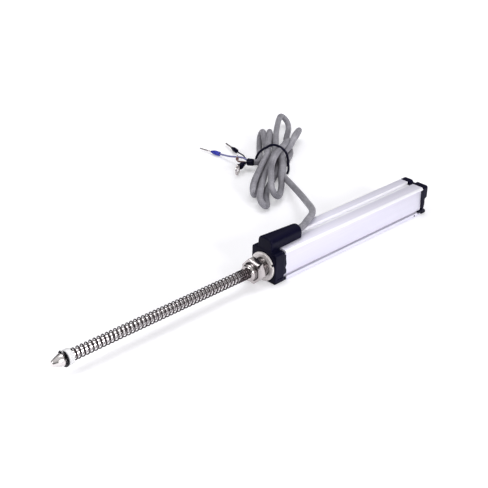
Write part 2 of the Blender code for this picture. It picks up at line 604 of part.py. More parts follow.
def build_front_cap():
    cap = extruded("front_cap", cap_section(False), FRONT, FRONT + FRONT_CAP_DEPTH, SECTION)
    cut(cap, box("front_plug", (FRONT + FRONT_CAP_DEPTH - MM, -PLUG_HALF, PLUG_FLOOR),
                 (FRONT_PLUG_END, PLUG_HALF, PLUG_ROOF)), "UNION")
    root = FRONT + FRONT_CAP_DEPTH - MM
    edge = TUBE_FRONT
    waves = wavy(edge, [(0.6, 0.06), (0.8, 0.15), (0.7, 0.24), (0.15, 0.36), (0.75, 0.50), (0.5, 0.64),
                        (0.25, 0.78), (0.3, 0.88), (0.1, 0.955)])
    feet = [(root, FOOT_LOW), (TUBE_FRONT + FOOT_REACH, FOOT_LOW), (TUBE_FRONT + FOOT_REACH, FOOT_TOP),
            (root, FOOT_TOP)]
    inner, outer = HALF_WIDTH - FOOT_GROOVE_DEPTH + 0.1 * MM + STATIC_GAP, HALF_WIDTH - TONGUE_STEP
    for sign in (-1, 1):
        groove_low, groove_high = sorted((sign * (HALF_WIDTH - CAP_GROOVE_DEPTH), sign * (HALF_WIDTH + MM)))
        cut(cap, box("cap_groove", (FRONT + 1.2 * MM, groove_low, FOOT_TOP + 0.2 * MM),
                     (root + 0.2 * MM, groove_high, PANEL_BOTTOM)))
        cut(cap, tongue("front_tongue", sign, root, waves), "UNION")
        low, high = (-outer, -inner) if sign > 0 else (inner, outer)
        cut(cap, extruded("front_foot", feet, low, high, SIDE), "UNION")
    cut(cap, gland_body(), "UNION")
    cut(cap, bar("bushing_seat", FRONT - MM, FRONT_PLUG_END + MM, NECK_DIAMETER + 2 * STATIC_GAP))
    bore_start, bore_end = FRONT + WIRE_SLOT_FRONT + MM, FRONT + GLAND_END + MM
    cut(cap, bar("cable_bore", bore_start, bore_end, GLAND_BORE, GLAND_HEIGHT))
    slot = WIRE_SLOT_WIDTH / 2
    slot_floor = AXIS_HEIGHT + NECK_DIAMETER / 2 + STATIC_GAP + SLOT_WALL
    cut(cap, box("wire_slot", (FRONT + WIRE_SLOT_FRONT, -slot, slot_floor),
                 (FRONT_PLUG_END + MM, slot, PLUG_ROOF + 0.1 * MM)))
    well = GLAND_BORE / 2 - 0.3 * MM
    cut(cap, box("wire_well", (FRONT + WIRE_SLOT_FRONT + 0.1 * MM, -well, slot_floor + 0.1 * MM),
                 (FRONT + WIRE_SLOT_BACK, well, GLAND_HEIGHT)))
    return finish(settle(cap), BLACK_PLASTIC)


def build_rear_cap():
    plate = BACK - REAR_CAP_DEPTH
    step = BACK - REAR_STEP_DEPTH
    rise = REAR_STEP_HEIGHT - REAR_FOOT_HEIGHT
    foot = REAR_FOOT_HEIGHT
    outline = [(plate, -MM), (BACK, -MM), (BACK, foot - 0.8 * MM), (BACK - 0.7 * MM, foot),
               (step - 0.4 * MM, foot + 1.0 * MM), (step + 0.1 * MM, foot + rise * 0.4),
               (step + 0.2 * MM, foot + rise * 0.65), (step - 0.1 * MM, REAR_STEP_HEIGHT - 0.6 * MM),
               (BACK, REAR_STEP_HEIGHT + 0.5 * MM),
               (BACK, HOUSING_HEIGHT + MM), (plate, HOUSING_HEIGHT + MM)]
    cap = extruded("rear_cap", outline, -HALF_WIDTH - MM, HALF_WIDTH + MM, SIDE)
    cut(cap, extruded("rear_outline", cap_section(True), plate - MM, BACK + MM, SECTION), "INTERSECT")
    cut(cap, box("rear_plug", (REAR_PLUG_END, -PLUG_HALF, PLUG_FLOOR),
                 (plate + MM, PLUG_HALF, PLUG_ROOF)), "UNION")
    edge = TUBE_BACK
    waves = wavy(edge, [(-0.08, 0.09), (0.0, 0.27), (-0.42, 0.43), (-0.7, 0.61), (-0.67, 0.97)])
    for sign in (-1, 1):
        cut(cap, tongue("rear_tongue", sign, plate + MM, waves), "UNION")
        inner, outer = HALF_WIDTH - FOOT_GROOVE_DEPTH + 0.1 * MM + STATIC_GAP, HALF_WIDTH - TONGUE_STEP
        low, high = (inner, outer) if sign > 0 else (-outer, -inner)
        reach = TUBE_BACK - LUG_REACH + STATIC_GAP
        lug = [(plate + MM, LUG_BOTTOM), (reach + 1.4 * MM, LUG_BOTTOM), (reach, 2.3 * MM), (reach, 3.0 * MM),
               (reach + 0.8 * MM, PANEL_BOTTOM - 0.1 * MM), (plate + MM, PANEL_BOTTOM - 0.1 * MM)]
        cut(cap, extruded("rear_lug", lug, -high, -low, SIDE), "UNION")
    return finish(settle(cap), BLACK_PLASTIC)


def build_gasket(name, low):
    half = HALF_WIDTH - FOOT_GROOVE_DEPTH
    low_edge, high_edge = GASKET_MARGIN, HOUSING_HEIGHT - TOP_GROOVE_DEPTH
    outline = rounded([(-half, low_edge, MM), (half, low_edge, MM), (half, high_edge, MM),
                       (-half, high_edge, MM)])
    side, floor, roof = PLUG_HALF + STATIC_GAP, PLUG_FLOOR - STATIC_GAP, PLUG_ROOF + STATIC_GAP
    window = [(-side, floor), (side, floor), (side, roof), (-side, roof)]
    return finish(extruded(name, outline, low, low + GASKET_THICKNESS, SECTION, window), RUBBER)


def build_bushing():
    thread, neck, face = THREAD_DIAMETER / 2, NECK_DIAMETER / 2, NOSE_FACE_DIAMETER / 2
    bore, lip = BUSHING_BORE / 2, ROD_DIAMETER / 2 + LIP_CLEARANCE
    front, back, end = FRONT - NOSE_END, FRONT_PLUG_END, FRONT - THREAD_END
    start, shoulder = FRONT - THREAD_START, thread - 0.2 * MM - face
    profile = [(back, neck), (FRONT, neck), (start, neck), (start, thread - 0.5 * MM),
               (start - 0.5 * MM, thread), (end + 0.3 * MM, thread)]
    for angle in (0, 30, 60, 90):
        turn = math.radians(angle)
        profile.append((end - (end - front) * math.sin(turn), face + shoulder * math.cos(turn)))
    profile += [(front, lip), (front + LIP_THICKNESS, lip), (front + LIP_THICKNESS, bore), (back, bore)]
    return finish(rod_piece("threaded_bushing", profile, 32, True), NICKEL)


def build_bearing():
    start, end = FRONT - NOSE_END + LIP_THICKNESS + STATIC_GAP, FRONT_PLUG_END - STATIC_GAP
    profile = sleeve(start, end, ROD_DIAMETER / 2 + RUNNING_GAP, BEARING_DIAMETER / 2)
    return finish(rod_piece("rod_bearing", profile, 24, True), BRONZE)


def about_axis(angle):
    """Turns a tool about the rod's axis and lifts it there."""
    return Matrix.Translation((0, 0, AXIS_HEIGHT)) @ Matrix.Rotation(angle, 4, "X")


def build_washer():
    low = WASHER_START - WASHER_THICKNESS
    washer = rod_piece("lock_washer", sleeve(low, WASHER_START, THREAD_DIAMETER / 2 + STATIC_GAP,
                                             WASHER_DIAMETER / 2), 48, True)
    reach = WASHER_DIAMETER / 2
    notch = box("washer_notch", (low - MM, -reach - MM, -WASHER_NOTCH_WIDTH / 2),
                (WASHER_START + MM, -reach + WASHER_NOTCH_DEPTH, WASHER_NOTCH_WIDTH / 2))
    notch.data.transform(about_axis(-WASHER_NOTCH_ANGLE))
    cut(washer, notch)
    return finish(settle(washer), NICKEL)


def build_nut():
    low = NUT_START - NUT_THICKNESS
    corner = NUT_WIDTH / 2 / math.cos(math.radians(30))
    outline = [(corner * math.sin(NUT_TURN + math.radians(60 * i)),
                AXIS_HEIGHT + corner * math.cos(NUT_TURN + math.radians(60 * i))) for i in range(6)]
    nut = extruded("hex_nut", outline, low, NUT_START, SECTION)
    face, side, slope = corner - NUT_CHAMFER, corner + 0.1 * MM, NUT_CHAMFER * 0.6
    profile = [(NUT_START, face), (NUT_START - slope, side), (low + slope, side), (low, face)]
    crown = rod_piece("nut_crown", profile, 48)
    cut(nut, close_ends(crown), "INTERSECT")
    cut(nut, bar("nut_bore", low - MM, NUT_START + MM, THREAD_DIAMETER + 2 * STATIC_GAP))
    return finish(settle(nut), NICKEL, 25)


def build_rod():
    full, groove, thread = ROD_DIAMETER / 2, CLIP_GROOVE_DIAMETER / 2, TIP_THREAD_DIAMETER / 2
    start = TIP_BASE + STATIC_GAP
    profile = [(ROD_END, 0.0), (ROD_END, full - 0.3 * MM), (ROD_END - 0.3 * MM, full)]
    for low in (RING_START, CLIP_START):
        near, far = low - STATIC_GAP / 2, low + CLIP_THICKNESS + STATIC_GAP / 2
        profile += [(far, full), (far, groove), (near, groove), (near, full)]
    profile += [(start, full), (start, thread), (TIP_BASE - TIP_THREAD_LENGTH, thread),
                (TIP_BASE - TIP_THREAD_LENGTH, 0.0)]
    return finish(rod_piece("rod", profile, 24), STEEL)


def build_tip():
    base, blunt = TIP_DIAMETER / 2, TIP_BLUNT_DIAMETER / 2
    hole = TIP_THREAD_DIAMETER / 2 + STATIC_GAP
    depth = TIP_BASE - TIP_THREAD_LENGTH - STATIC_GAP
    profile = [(depth, 0.0), (depth, hole), (TIP_BASE, hole), (TIP_BASE, base - 0.25 * MM),
               (TIP_BASE - 0.25 * MM, base), (TIP_BASE - TIP_BASE_LENGTH, base),
               (TIP_END + 0.45 * MM, blunt + 0.25 * MM),
               (TIP_END + 0.15 * MM, blunt), (TIP_END, blunt - 0.2 * MM), (TIP_END, 0.0)]
    return finish(rod_piece("cone_tip", profile, 32), STEEL, 28)


def build_e_clip():
    low, high = CLIP_START, CLIP_START + CLIP_THICKNESS
    inner, outer = GROOVE_BORE / 2, CLIP_DIAMETER / 2
    relief = outer - 1.5 * MM
    clip = rod_piece("e_clip", sleeve(low, high, relief, outer), 32, True)
    tab = 0.9 * MM
    for index, angle in enumerate((35, 145, 270)):
        arm = box("clip_tab_%d" % index, (low, inner, -tab), (high, relief + 0.5 * MM, tab))
        arm.data.transform(about_axis(math.radians(angle - 20)))
        cut(clip, arm, "UNION")
    mouth = box("clip_mouth", (low - MM, 0.0, -1.5 * MM), (high + MM, outer + MM, 1.5 * MM))
    mouth.data.transform(about_axis(math.radians(70)))
    cut(clip, mouth)
    return finish(settle(clip), BLACK_STEEL)


def build_collar():
    inner, outer = ROD_BORE / 2, COLLAR_DIAMETER / 2
    low, high = COLLAR_START, COLLAR_START + COLLAR_THICKNESS
    profile = [(high, inner), (high, outer - 0.9 * MM), (high - 0.5 * MM, outer), (low + 0.4 * MM, outer),
               (low, outer - 0.4 * MM), (low, inner)]
    return finish(rod_piece("spring_collar", profile, 32, True), WHITE_PLASTIC)


def build_spring():
    """The return spring: a helix whose pitch closes up against the bushing."""
    radius = (SPRING_DIAMETER - SPRING_WIRE) / 2
    low, high = SPRING_START + SPRING_WIRE / 2, SPRING_END - SPRING_WIRE / 2
    closed = SPRING_CLOSED_TURNS * SPRING_CLOSED_PITCH
    open_length = high - low - closed - SPRING_CLOSED_PITCH
    turns = SPRING_TURNS
    points = []
    for step in range((1 + turns + SPRING_CLOSED_TURNS) * POINTS_PER_TURN + 1):
        turn = step / POINTS_PER_TURN
        if turn < 1:
            along = low + turn * SPRING_CLOSED_PITCH
        elif turn < 1 + turns:
            along = low + SPRING_CLOSED_PITCH + (turn - 1) * open_length / turns
        else:
            along = low + SPRING_CLOSED_PITCH + open_length + (turn - 1 - turns) * SPRING_CLOSED_PITCH
        angle = 2 * math.pi * turn
        points.append((along, radius * math.sin(angle), AXIS_HEIGHT + radius * math.cos(angle)))
    return wire("return_spring", points, SPRING_WIRE, STEEL)


def build_carriage():
    half = CAVITY_HALF - STATIC_GAP
    low, high = CARRIAGE_START, CARRIAGE_START + CARRIAGE_LENGTH
    floor, top = CAVITY_FLOOR + STATIC_GAP, CARRIAGE_TOP
    waist = 1.4 * MM
    outline = [(low, floor), (high, floor), (high, top), (low, top)]
    carriage = extruded("wiper_carriage", outline, -half, half, SIDE)
    for sign in (-1, 1):
        y_low, y_high = sorted((sign * (half - waist), sign * (half + MM)))
        cut(carriage, box("carriage_relief", (low + 3 * MM, y_low, floor - MM),
                          (high - 3 * MM, y_high, top + MM)))
    cut(carriage, bar("carriage_bore", low - MM, high + MM, ROD_BORE, sides=24))
    return finish(settle(carriage), NATURAL_PLASTIC)


def build_wiper():
    """A comb of four sprung fingers that press up towards the board."""
    bottom = CARRIAGE_TOP + STATIC_GAP
    top = BOARD_BOTTOM - STATIC_GAP
    start = CARRIAGE_START + 2.0 * MM
    bend, reach = start + 3.0 * MM, start + 8.0 * MM
    sheet = WIPER_SHEET
    outline = [(start, bottom), (bend, bottom), (reach, top - sheet - 0.1 * MM),
               (reach + 0.8 * MM, top - sheet), (reach + 0.8 * MM, top), (reach, top - 0.05 * MM),
               (bend, bottom + sheet), (start, bottom + sheet)]
    wiper = extruded("wiper_fingers", outline, -WIPER_WIDTH / 2, WIPER_WIDTH / 2, SIDE)
    pitch = WIPER_WIDTH / WIPER_FINGERS
    for index in range(1, WIPER_FINGERS):
        middle = -WIPER_WIDTH / 2 + index * pitch
        cut(wiper, box("finger_slot_%d" % index, (bend, middle - WIPER_SLOT / 2, bottom - MM),
                       (reach + 2 * MM, middle + WIPER_SLOT / 2, top + MM)))
    return finish(settle(wiper), BRONZE)


def build_board():
    half = CAVITY_HALF - STATIC_GAP
    board = box("track_board", (FRONT_PLUG_END + BOARD_SETBACK, -half, BOARD_BOTTOM),
                (REAR_PLUG_END - BOARD_SETBACK, half, BOARD_TOP))
    return finish(board, BOARD)


def build_terminals_and_leads():
    start = FRONT_PLUG_END + BOARD_SETBACK + 1.2 * MM
    base = BOARD_TOP + STATIC_GAP
    well = FRONT + (WIRE_SLOT_FRONT + WIRE_SLOT_BACK) / 2
    for index in range(TERMINALS):
        y = (index - (TERMINALS - 1) / 2) * TERMINAL_SPACING
        pin = turned("board_terminal_%d" % (index + 1),
                     [(TERMINAL_HEIGHT, TERMINAL_DIAMETER / 2), (0, TERMINAL_DIAMETER / 2)],
                     (start, y, base), (0, 0, 1), 12)
        finish(close_ends(pin), NICKEL)
        height = base + LEAD_DIAMETER / 2 - 0.02 * MM
        narrow = y * 0.8
        route = smooth_route([(start - TERMINAL_DIAMETER / 2 - STATIC_GAP, y, height),
                              (FRONT_PLUG_END, y, height), (FRONT + FRONT_CAP_DEPTH, y, height),
                              (well + 0.3 * MM, narrow, height + 1.1 * MM),
                              (well + 0.15 * MM, narrow, HOUSING_HEIGHT - 0.4 * MM),
                              (well + 0.5 * MM, narrow, GLAND_HEIGHT - 1.2 * MM),
                              (well + 1.9 * MM, narrow, GLAND_HEIGHT - 0.2 * MM),
                              (CABLE_START - STATIC_GAP, narrow * 0.9, GLAND_HEIGHT)], 1.0 * MM)
        wire("inner_lead_%d" % (index + 1), route, LEAD_DIAMETER, LEADS[index])


def build_inner_rings():
    buffer = sleeve(BUFFER_START, BUFFER_START + BUFFER_THICKNESS, ROD_BORE / 2, BUFFER_DIAMETER / 2)
    ring = sleeve(RING_START, RING_START + CLIP_THICKNESS, GROOVE_BORE / 2, RING_DIAMETER / 2)
    finish(rod_piece("stop_buffer", buffer, 24, True), RUBBER)
    finish(rod_piece("retaining_ring", ring, 24, True), BLACK_STEEL)


def hank_point(along, across, height=0.0):
    """A point given in the hank's own directions."""
    c, s = math.cos(HANK_ANGLE), math.sin(HANK_ANGLE)
    return Vector((HANK_CENTRE.x + along * c - across * s, HANK_CENTRE.y + along * s + across * c, height))


def build_cable():
    route = LEAD_ROUTE + [hank_point(*LEAD_END)]
    wire("cable_lead", smooth_route(route, 2.4 * CABLE_DIAMETER), CABLE_DIAMETER, GREY_JACKET)
    outline = [tuple(hank_point(a, b).xy) for a, b in HANK_OUTLINE]
    hank = extruded("cable_hank", outline, HANK_BOTTOM, HANK_TOP, Matrix.Identity(4))
    finish(hank, GREY_JACKET)
    room = STATIC_GAP + TIE_DIAMETER / 2
    low, high = -WAIST_NEAR - room, WAIST_FAR + room
    floor, top = TIE_DIAMETER / 2, HANK_TOP + room
    ring = rounded([(low, floor, TIE_CORNER / 2), (high, floor, TIE_CORNER / 2), (high, top, TIE_CORNER),
                    (low, top, TIE_CORNER)], 4)
    wire("cable_tie", [hank_point(TIE_STATION, a, b) for a, b in ring], TIE_DIAMETER, BLACK_PLASTIC, True)


def along(start, towards, distance):
    return Vector(start) + Vector(towards).normalized() * distance


def build_cable_end():
    radius, length = END_SLEEVE["diameter"] / 2, END_SLEEVE["length"]
    profile = [(length, radius - 0.4 * MM), (length - 0.5 * MM, radius), (0.4 * MM, radius),
               (0, radius - 0.3 * MM)]
    shrink = turned("end_sleeve", profile, END_SLEEVE["start"], END_SLEEVE["towards"], 20)
    finish(close_ends(shrink), BLACK_PLASTIC)
    for name, (diameter, points) in WIRE_ROUTES.items():
        wire(name, smooth_route(points, 2.2 * MM), diameter, WIRE_COLOURS[name])
    for name, sizes in FERRULES.items():
        outer, pin = sizes["sleeve"] / 2, sizes["pin"] / 2
        length = sizes["sleeve_length"]
        profile = [(length, pin + 0.3 * MM), (length * 0.75, outer * 0.8), (length * 0.6, outer), (0, outer)]
        body = turned(name + "_sleeve", profile, sizes["start"], sizes["towards"], 16)
        finish(close_ends(body), WIRE_COLOURS[name])
        reach = sizes["pin_length"]
        tip = turned(name + "_pin", [(reach, pin * 0.8), (reach - 0.4 * MM, pin), (0, pin)],
                     along(sizes["start"], sizes["towards"], length + STATIC_GAP), sizes["towards"], 12)
        finish(close_ends(tip), NICKEL)


def build_ring_terminal():
    sizes = RING_TERMINAL
    start, towards = Vector(sizes["start"]), Vector(sizes["towards"]).normalized()
    radius = sizes["sleeve"] / 2
    body = turned("ring_terminal_sleeve", [(sizes["sleeve_length"], radius - 0.3 * MM),
                                           (sizes["sleeve_length"] - 0.6 * MM, radius), (0, radius)],
                  start, towards, 16)
    finish(close_ends(body), BLACK_PLASTIC)
    ring, sheet = sizes["ring"] / 2, sizes["sheet"]
    side = Vector((-towards.y, towards.x, 0.0))
    centre = start + towards * sizes["centre_at"]
    profile = sleeve(-sheet / 2, sheet / 2, sizes["hole"] / 2, ring)
    eye = turned("ring_terminal", profile, centre, side, 32, True)
    neck_start = sizes["sleeve_length"] + STATIC_GAP
    neck = box("ring_neck", (neck_start - sizes["centre_at"], -sheet / 2, -1.5 * MM),
               (-sizes["hole"] / 2 - 0.4 * MM, sheet / 2, 1.5 * MM))
    turn = Vector((1, 0, 0)).rotation_difference(towards)
    neck.data.transform(Matrix.Translation(centre) @ turn.to_matrix().to_4x4())
    cut(eye, neck, "UNION")
    finish(settle(eye), NICKEL)


clear_scene()
PARTS, CUTTERS = make_collections()
ALUMINIUM = make_material("anodised_aluminium", (0.83, 0.82, 0.88), 0.38, 0.85)
BLACK_PLASTIC = make_material("black_plastic", (0.012, 0.012, 0.02), 0.4, 0.0)
RUBBER = make_material("black_rubber", (0.02, 0.02, 0.022), 0.7, 0.0)
NICKEL = make_material("nickel_plate", (0.72, 0.7, 0.7), 0.22, 1.0)
STEEL = make_material("bright_steel", (0.66, 0.65, 0.66), 0.2, 1.0)
BLACK_STEEL = make_material("black_spring_steel", (0.03, 0.03, 0.035), 0.35, 0.6)
BRONZE = make_material("bronze", (0.62, 0.42, 0.2), 0.3, 1.0)
WHITE_PLASTIC = make_material("white_plastic", (0.85, 0.85, 0.85), 0.4, 0.0)
NATURAL_PLASTIC = make_material("natural_plastic", (0.75, 0.73, 0.66), 0.5, 0.0)
BOARD = make_material("track_board", (0.05, 0.11, 0.06), 0.5, 0.0)
GREY_JACKET = make_material("grey_cable_jacket", (0.26, 0.26, 0.29), 0.5, 0.0)
BLUE = make_material("blue_insulation", (0.02, 0.03, 0.45), 0.4, 0.0)
PALE_BLUE = make_material("pale_blue_insulation", (0.25, 0.26, 0.5), 0.45, 0.0)
BROWN = make_material("brown_insulation", (0.2, 0.05, 0.03), 0.45, 0.0)
LEADS = [BROWN, BLUE, BLACK_PLASTIC]
WIRE_COLOURS = {"wire_black": BLACK_PLASTIC, "wire_blue": PALE_BLUE, "wire_brown": BROWN,
                "wire_shield": BLACK_PLASTIC, "ferrule_black": BLACK_PLASTIC, "ferrule_blue": BLUE,
                "ferrule_brown": BROWN}

build_tube()
build_front_cap()
build_rear_cap()
build_gasket("front_gasket", FRONT + FRONT_CAP_DEPTH + STATIC_GAP)
build_gasket("rear_gasket", TUBE_BACK + STATIC_GAP)
build_bushing()
build_bearing()
build_washer()
build_nut()
build_rod()
build_tip()
build_e_clip()
build_collar()
build_spring()
build_carriage()
build_wiper()
build_board()
build_terminals_and_leads()
build_inner_rings()
build_cable()
build_cable_end()
build_ring_terminal()
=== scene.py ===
# Looks of the spring return linear potentiometer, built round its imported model.
import json
import math

import bmesh
import bpy
import numpy as np
from mathutils import Matrix, Vector


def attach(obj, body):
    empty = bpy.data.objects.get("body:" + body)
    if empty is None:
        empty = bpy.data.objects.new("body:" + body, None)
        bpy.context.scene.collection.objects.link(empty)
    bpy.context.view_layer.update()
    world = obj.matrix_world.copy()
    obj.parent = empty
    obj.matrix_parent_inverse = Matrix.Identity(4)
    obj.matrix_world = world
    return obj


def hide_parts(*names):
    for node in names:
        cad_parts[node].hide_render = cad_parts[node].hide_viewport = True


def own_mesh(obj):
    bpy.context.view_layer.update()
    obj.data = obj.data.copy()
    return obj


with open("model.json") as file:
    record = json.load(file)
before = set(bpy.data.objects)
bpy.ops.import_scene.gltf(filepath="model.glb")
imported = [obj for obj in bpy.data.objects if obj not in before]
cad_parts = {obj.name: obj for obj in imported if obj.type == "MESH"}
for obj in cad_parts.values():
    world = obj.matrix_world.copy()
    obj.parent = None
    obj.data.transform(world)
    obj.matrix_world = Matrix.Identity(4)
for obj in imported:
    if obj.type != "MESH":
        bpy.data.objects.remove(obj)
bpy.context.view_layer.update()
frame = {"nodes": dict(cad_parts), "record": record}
nodes = frame["nodes"]
scene = bpy.context.scene
mm = 0.001

# Camera: fitted to the corners of the housing in the photograph
camera = {"azimuth": -45.14, "elevation": 28.27, "roll": 1.69, "place": (-0.4260, -0.3435, 0.2888),
          "focal": 1069.8, "imageWidth": 488, "sensorWidth": 36, "clipEnd": 5}


def aimCamera():
    azimuth, elevation, roll = (math.radians(camera[name]) for name in ("azimuth", "elevation", "roll"))
    ahead = Vector((-math.sin(azimuth) * math.cos(elevation), math.cos(azimuth) * math.cos(elevation),
                    -math.sin(elevation)))
    right = Vector((math.cos(azimuth), math.sin(azimuth), 0.0))
    up = right.cross(ahead)
    turnedRight = right * math.cos(roll) + up * math.sin(roll)
    turnedUp = up * math.cos(roll) - right * math.sin(roll)
    lens = bpy.data.cameras.new("photoCamera")
    lens.sensor_width = camera["sensorWidth"]
    lens.lens = camera["sensorWidth"] * camera["focal"] / camera["imageWidth"]
    lens.clip_end = camera["clipEnd"]
    holder = bpy.data.objects.new("photoCamera", lens)
    scene.collection.objects.link(holder)
    place = Matrix((turnedRight, turnedUp, -ahead)).transposed().to_4x4()
    place.translation = Vector(camera["place"])
    holder.matrix_world = place
    scene.camera = holder


aimCamera()
print("camera set")


# Helpers for pieces
def pieceFrom(name, mesh):
    item = bpy.data.objects.new(name, mesh)
    scene.collection.objects.link(item)
    return item


def shadeSoft(item, angle):
    item.data.shade_smooth()
    item.data.set_sharp_from_angle(angle=math.radians(angle))


def closedCopy(nodeName, pieceName):
    # a copy of a CAD node whose faces share their corners
    item = pieceFrom(pieceName, nodes[nodeName].data.copy())
    shape = bmesh.new()
    shape.from_mesh(item.data)
    bmesh.ops.remove_doubles(shape, verts=shape.verts, dist=0.001 * mm)
    bmesh.ops.recalc_face_normals(shape, faces=shape.faces)
    shape.to_mesh(item.data)
    shape.free()
    return item


def plainMesh(item):
    # the evaluated shape as one plain mesh, with the modifiers gone
    bpy.context.view_layer.update()
    graph = bpy.context.evaluated_depsgraph_get()
    mesh = bpy.data.meshes.new_from_object(item.evaluated_get(graph))
    item.modifiers.clear()
    item.data = mesh


# Angles in degrees: faces closer than flatBelow are one flat face, edges over roundOver are rounded
softening = {"flatBelow": 1.5, "roundOver": 30, "segments": 2, "sharpOver": 40}


def softened(nodeName, pieceName, body, width):
    # a copy of a CAD node with its sharp edges rounded, so that they catch the light
    item = closedCopy(nodeName, pieceName)
    flat = bmesh.new()
    flat.from_mesh(item.data)
    bmesh.ops.dissolve_limit(flat, angle_limit=math.radians(softening["flatBelow"]), verts=flat.verts,
                             edges=flat.edges)
    flat.to_mesh(item.data)
    flat.free()
    bevel = item.modifiers.new("roundEdges", "BEVEL")
    bevel.width = width
    bevel.segments = softening["segments"]
    bevel.limit_method = "ANGLE"
    bevel.angle_limit = math.radians(softening["roundOver"])
    plainMesh(item)
    shadeSoft(item, softening["sharpOver"])
    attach(item, body)
    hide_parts(nodeName)
    return item


moulding = {"voxel": 0.2 * mm, "smoothing": 0.5, "rounds": 7, "facesKept": 0.35}


def moulded(nodeName, pieceName, body):
    # a copy of a moulding with all its edges rounded evenly, as they come out of a mould
    item = closedCopy(nodeName, pieceName)
    remesh = item.modifiers.new("evenMesh", "REMESH")
    remesh.mode = "VOXEL"
    remesh.voxel_size = moulding["voxel"]
    smooth = item.modifiers.new("roundEdges", "SMOOTH")
    smooth.factor = moulding["smoothing"]
    smooth.iterations = moulding["rounds"]
    thin = item.modifiers.new("fewerFaces", "DECIMATE")
    thin.ratio = moulding["facesKept"]
    plainMesh(item)
    item.data.shade_smooth()
    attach(item, body)
    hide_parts(nodeName)
    return item


def curveThrough(points, steps):
    # a smooth curve through given points, with its tangents fitted to their spacing
    places = [np.array(point, dtype=float) for point in points]
    dense = []
    for index in range(len(places) - 1):
        b, c = places[index], places[index + 1]
        a = places[index - 1] if index else 2 * b - c
        d = places[index + 2] if index + 2 < len(places) else 2 * c - b
        before, here, after = (max(float(np.linalg.norm(gap)), 1e-9) ** 0.5 for gap in (b - a, c - b, d - c))
        leaving = c - b + here * ((b - a) / before - (c - a) / (before + here))
        arriving = c - b + here * ((d - c) / after - (d - b) / (here + after))
        for step in range(steps):
            t = step / steps
            dense.append((2 * t ** 3 - 3 * t ** 2 + 1) * b + (t ** 3 - 2 * t ** 2 + t) * leaving
                         + (3 * t ** 2 - 2 * t ** 3) * c + (t ** 3 - t ** 2) * arriving)
    dense.append(places[-1])
    return np.array(dense)


def spaced(places, spacing):
    # the same curve with its points at even distances
    walked = np.concatenate([[0.0], np.cumsum(np.linalg.norm(np.diff(places, axis=0), axis=1))])
    wanted = np.linspace(0.0, walked[-1], max(3, int(round(walked[-1] / spacing)) + 1))
    return np.stack([np.interp(wanted, walked, places[:, axis]) for axis in range(3)], axis=1)


def roundCord(name, places, diameter, sides):
    # a round cord along the given places, as a curve of one open spline
    shape = bpy.data.curves.new(name, "CURVE")
    shape.dimensions = "3D"
    shape.bevel_depth = diameter / 2
    shape.bevel_resolution = sides
    shape.use_fill_caps = True
    spline = shape.splines.new("POLY")
    spline.points.add(len(places) - 1)
    for point, place in zip(spline.points, places):
        point.co = (*map(float, place), 1.0)
    spline.use_smooth = True
    item = bpy.data.objects.new(name, shape)
    scene.collection.objects.link(item)
    return item


# Shader groups
def groupWith(name, inputs, outputs):
    tree = bpy.data.node_groups.new(name, "ShaderNodeTree")
    for label, kind, value in inputs:
        socket = tree.interface.new_socket(name=label, in_out="INPUT", socket_type=kind)
        socket.default_value = value
    for label, kind in outputs:
        tree.interface.new_socket(name=label, in_out="OUTPUT", socket_type=kind)
    return tree, tree.nodes.new("NodeGroupInput"), tree.nodes.new("NodeGroupOutput")


def mathNode(tree, operation, first, second=0.0, clamp=False):
    node = tree.nodes.new("ShaderNodeMath")
    node.operation = operation
    node.use_clamp = clamp
    for socket, value in zip(node.inputs, (first, second)):
        if isinstance(value, (int, float)):
            socket.default_value = value
        else:
            tree.links.new(value, socket)
    return node.outputs[0]


def mixColor(tree, share, first, second):
    node = tree.nodes.new("ShaderNodeMix")
    node.data_type = "RGBA"
    for socket, value in ((node.inputs[0], share), (node.inputs[6], first), (node.inputs[7], second)):
        if isinstance(value, (tuple, int, float)):
            socket.default_value = value
        else:
            tree.links.new(value, socket)
    return node.outputs[2]


def noise(tree, vector, scale, detail, rough=0.5):
    # noise of a fixed or a linked scale
    node = tree.nodes.new("ShaderNodeTexNoise")
    node.inputs["Detail"].default_value = detail
    node.inputs["Roughness"].default_value = rough
    tree.links.new(vector, node.inputs["Vector"])
    if isinstance(scale, float):
        node.inputs["Scale"].default_value = scale
    else:
        tree.links.new(scale, node.inputs["Scale"])
    return node.outputs["Fac"]


def surfaceOutputs(tree, given, out, sizes, fine, broad):
    # colour and roughness from a fine and a broad noise, mixed by their shares; height from the fine one
    share = mathNode(tree, "ADD", mathNode(tree, "MULTIPLY", fine, sizes["fineShare"]),
                     mathNode(tree, "MULTIPLY", broad, 1 - sizes["fineShare"]))
    sharper = mathNode(tree, "MULTIPLY", mathNode(tree, "SUBTRACT", share, sizes["darkest"]), sizes["contrast"], True)
    tree.links.new(mixColor(tree, sharper, given.outputs["Dark Colour"], given.outputs["Light Colour"]),
                   out.inputs["Color"])
    change = mathNode(tree, "MULTIPLY", mathNode(tree, "SUBTRACT", share if sizes["roughByBoth"] else broad, 0.5),
                      given.outputs["Roughness Change"])
    tree.links.new(mathNode(tree, "ADD", given.outputs["Roughness"], change, True), out.inputs["Roughness"])
    tree.links.new(fine, out.inputs["Height"])


surfaceSockets = [("Color", "NodeSocketColor"), ("Roughness", "NodeSocketFloat"), ("Height", "NodeSocketFloat")]
grain = {"fineDetail": 2.0, "broadScale": 70.0, "broadDetail": 3.0, "broadRough": 0.6, "fineShare": 0.45,
         "darkest": 0.35, "contrast": 3.3, "roughByBoth": False}
toolLines = {"fineDetail": 4.0, "fineRough": 0.65, "broadScale": 45.0, "broadDetail": 2.0, "fineShare": 0.7,
             "darkest": 0.3, "contrast": 2.5, "roughByBoth": True}


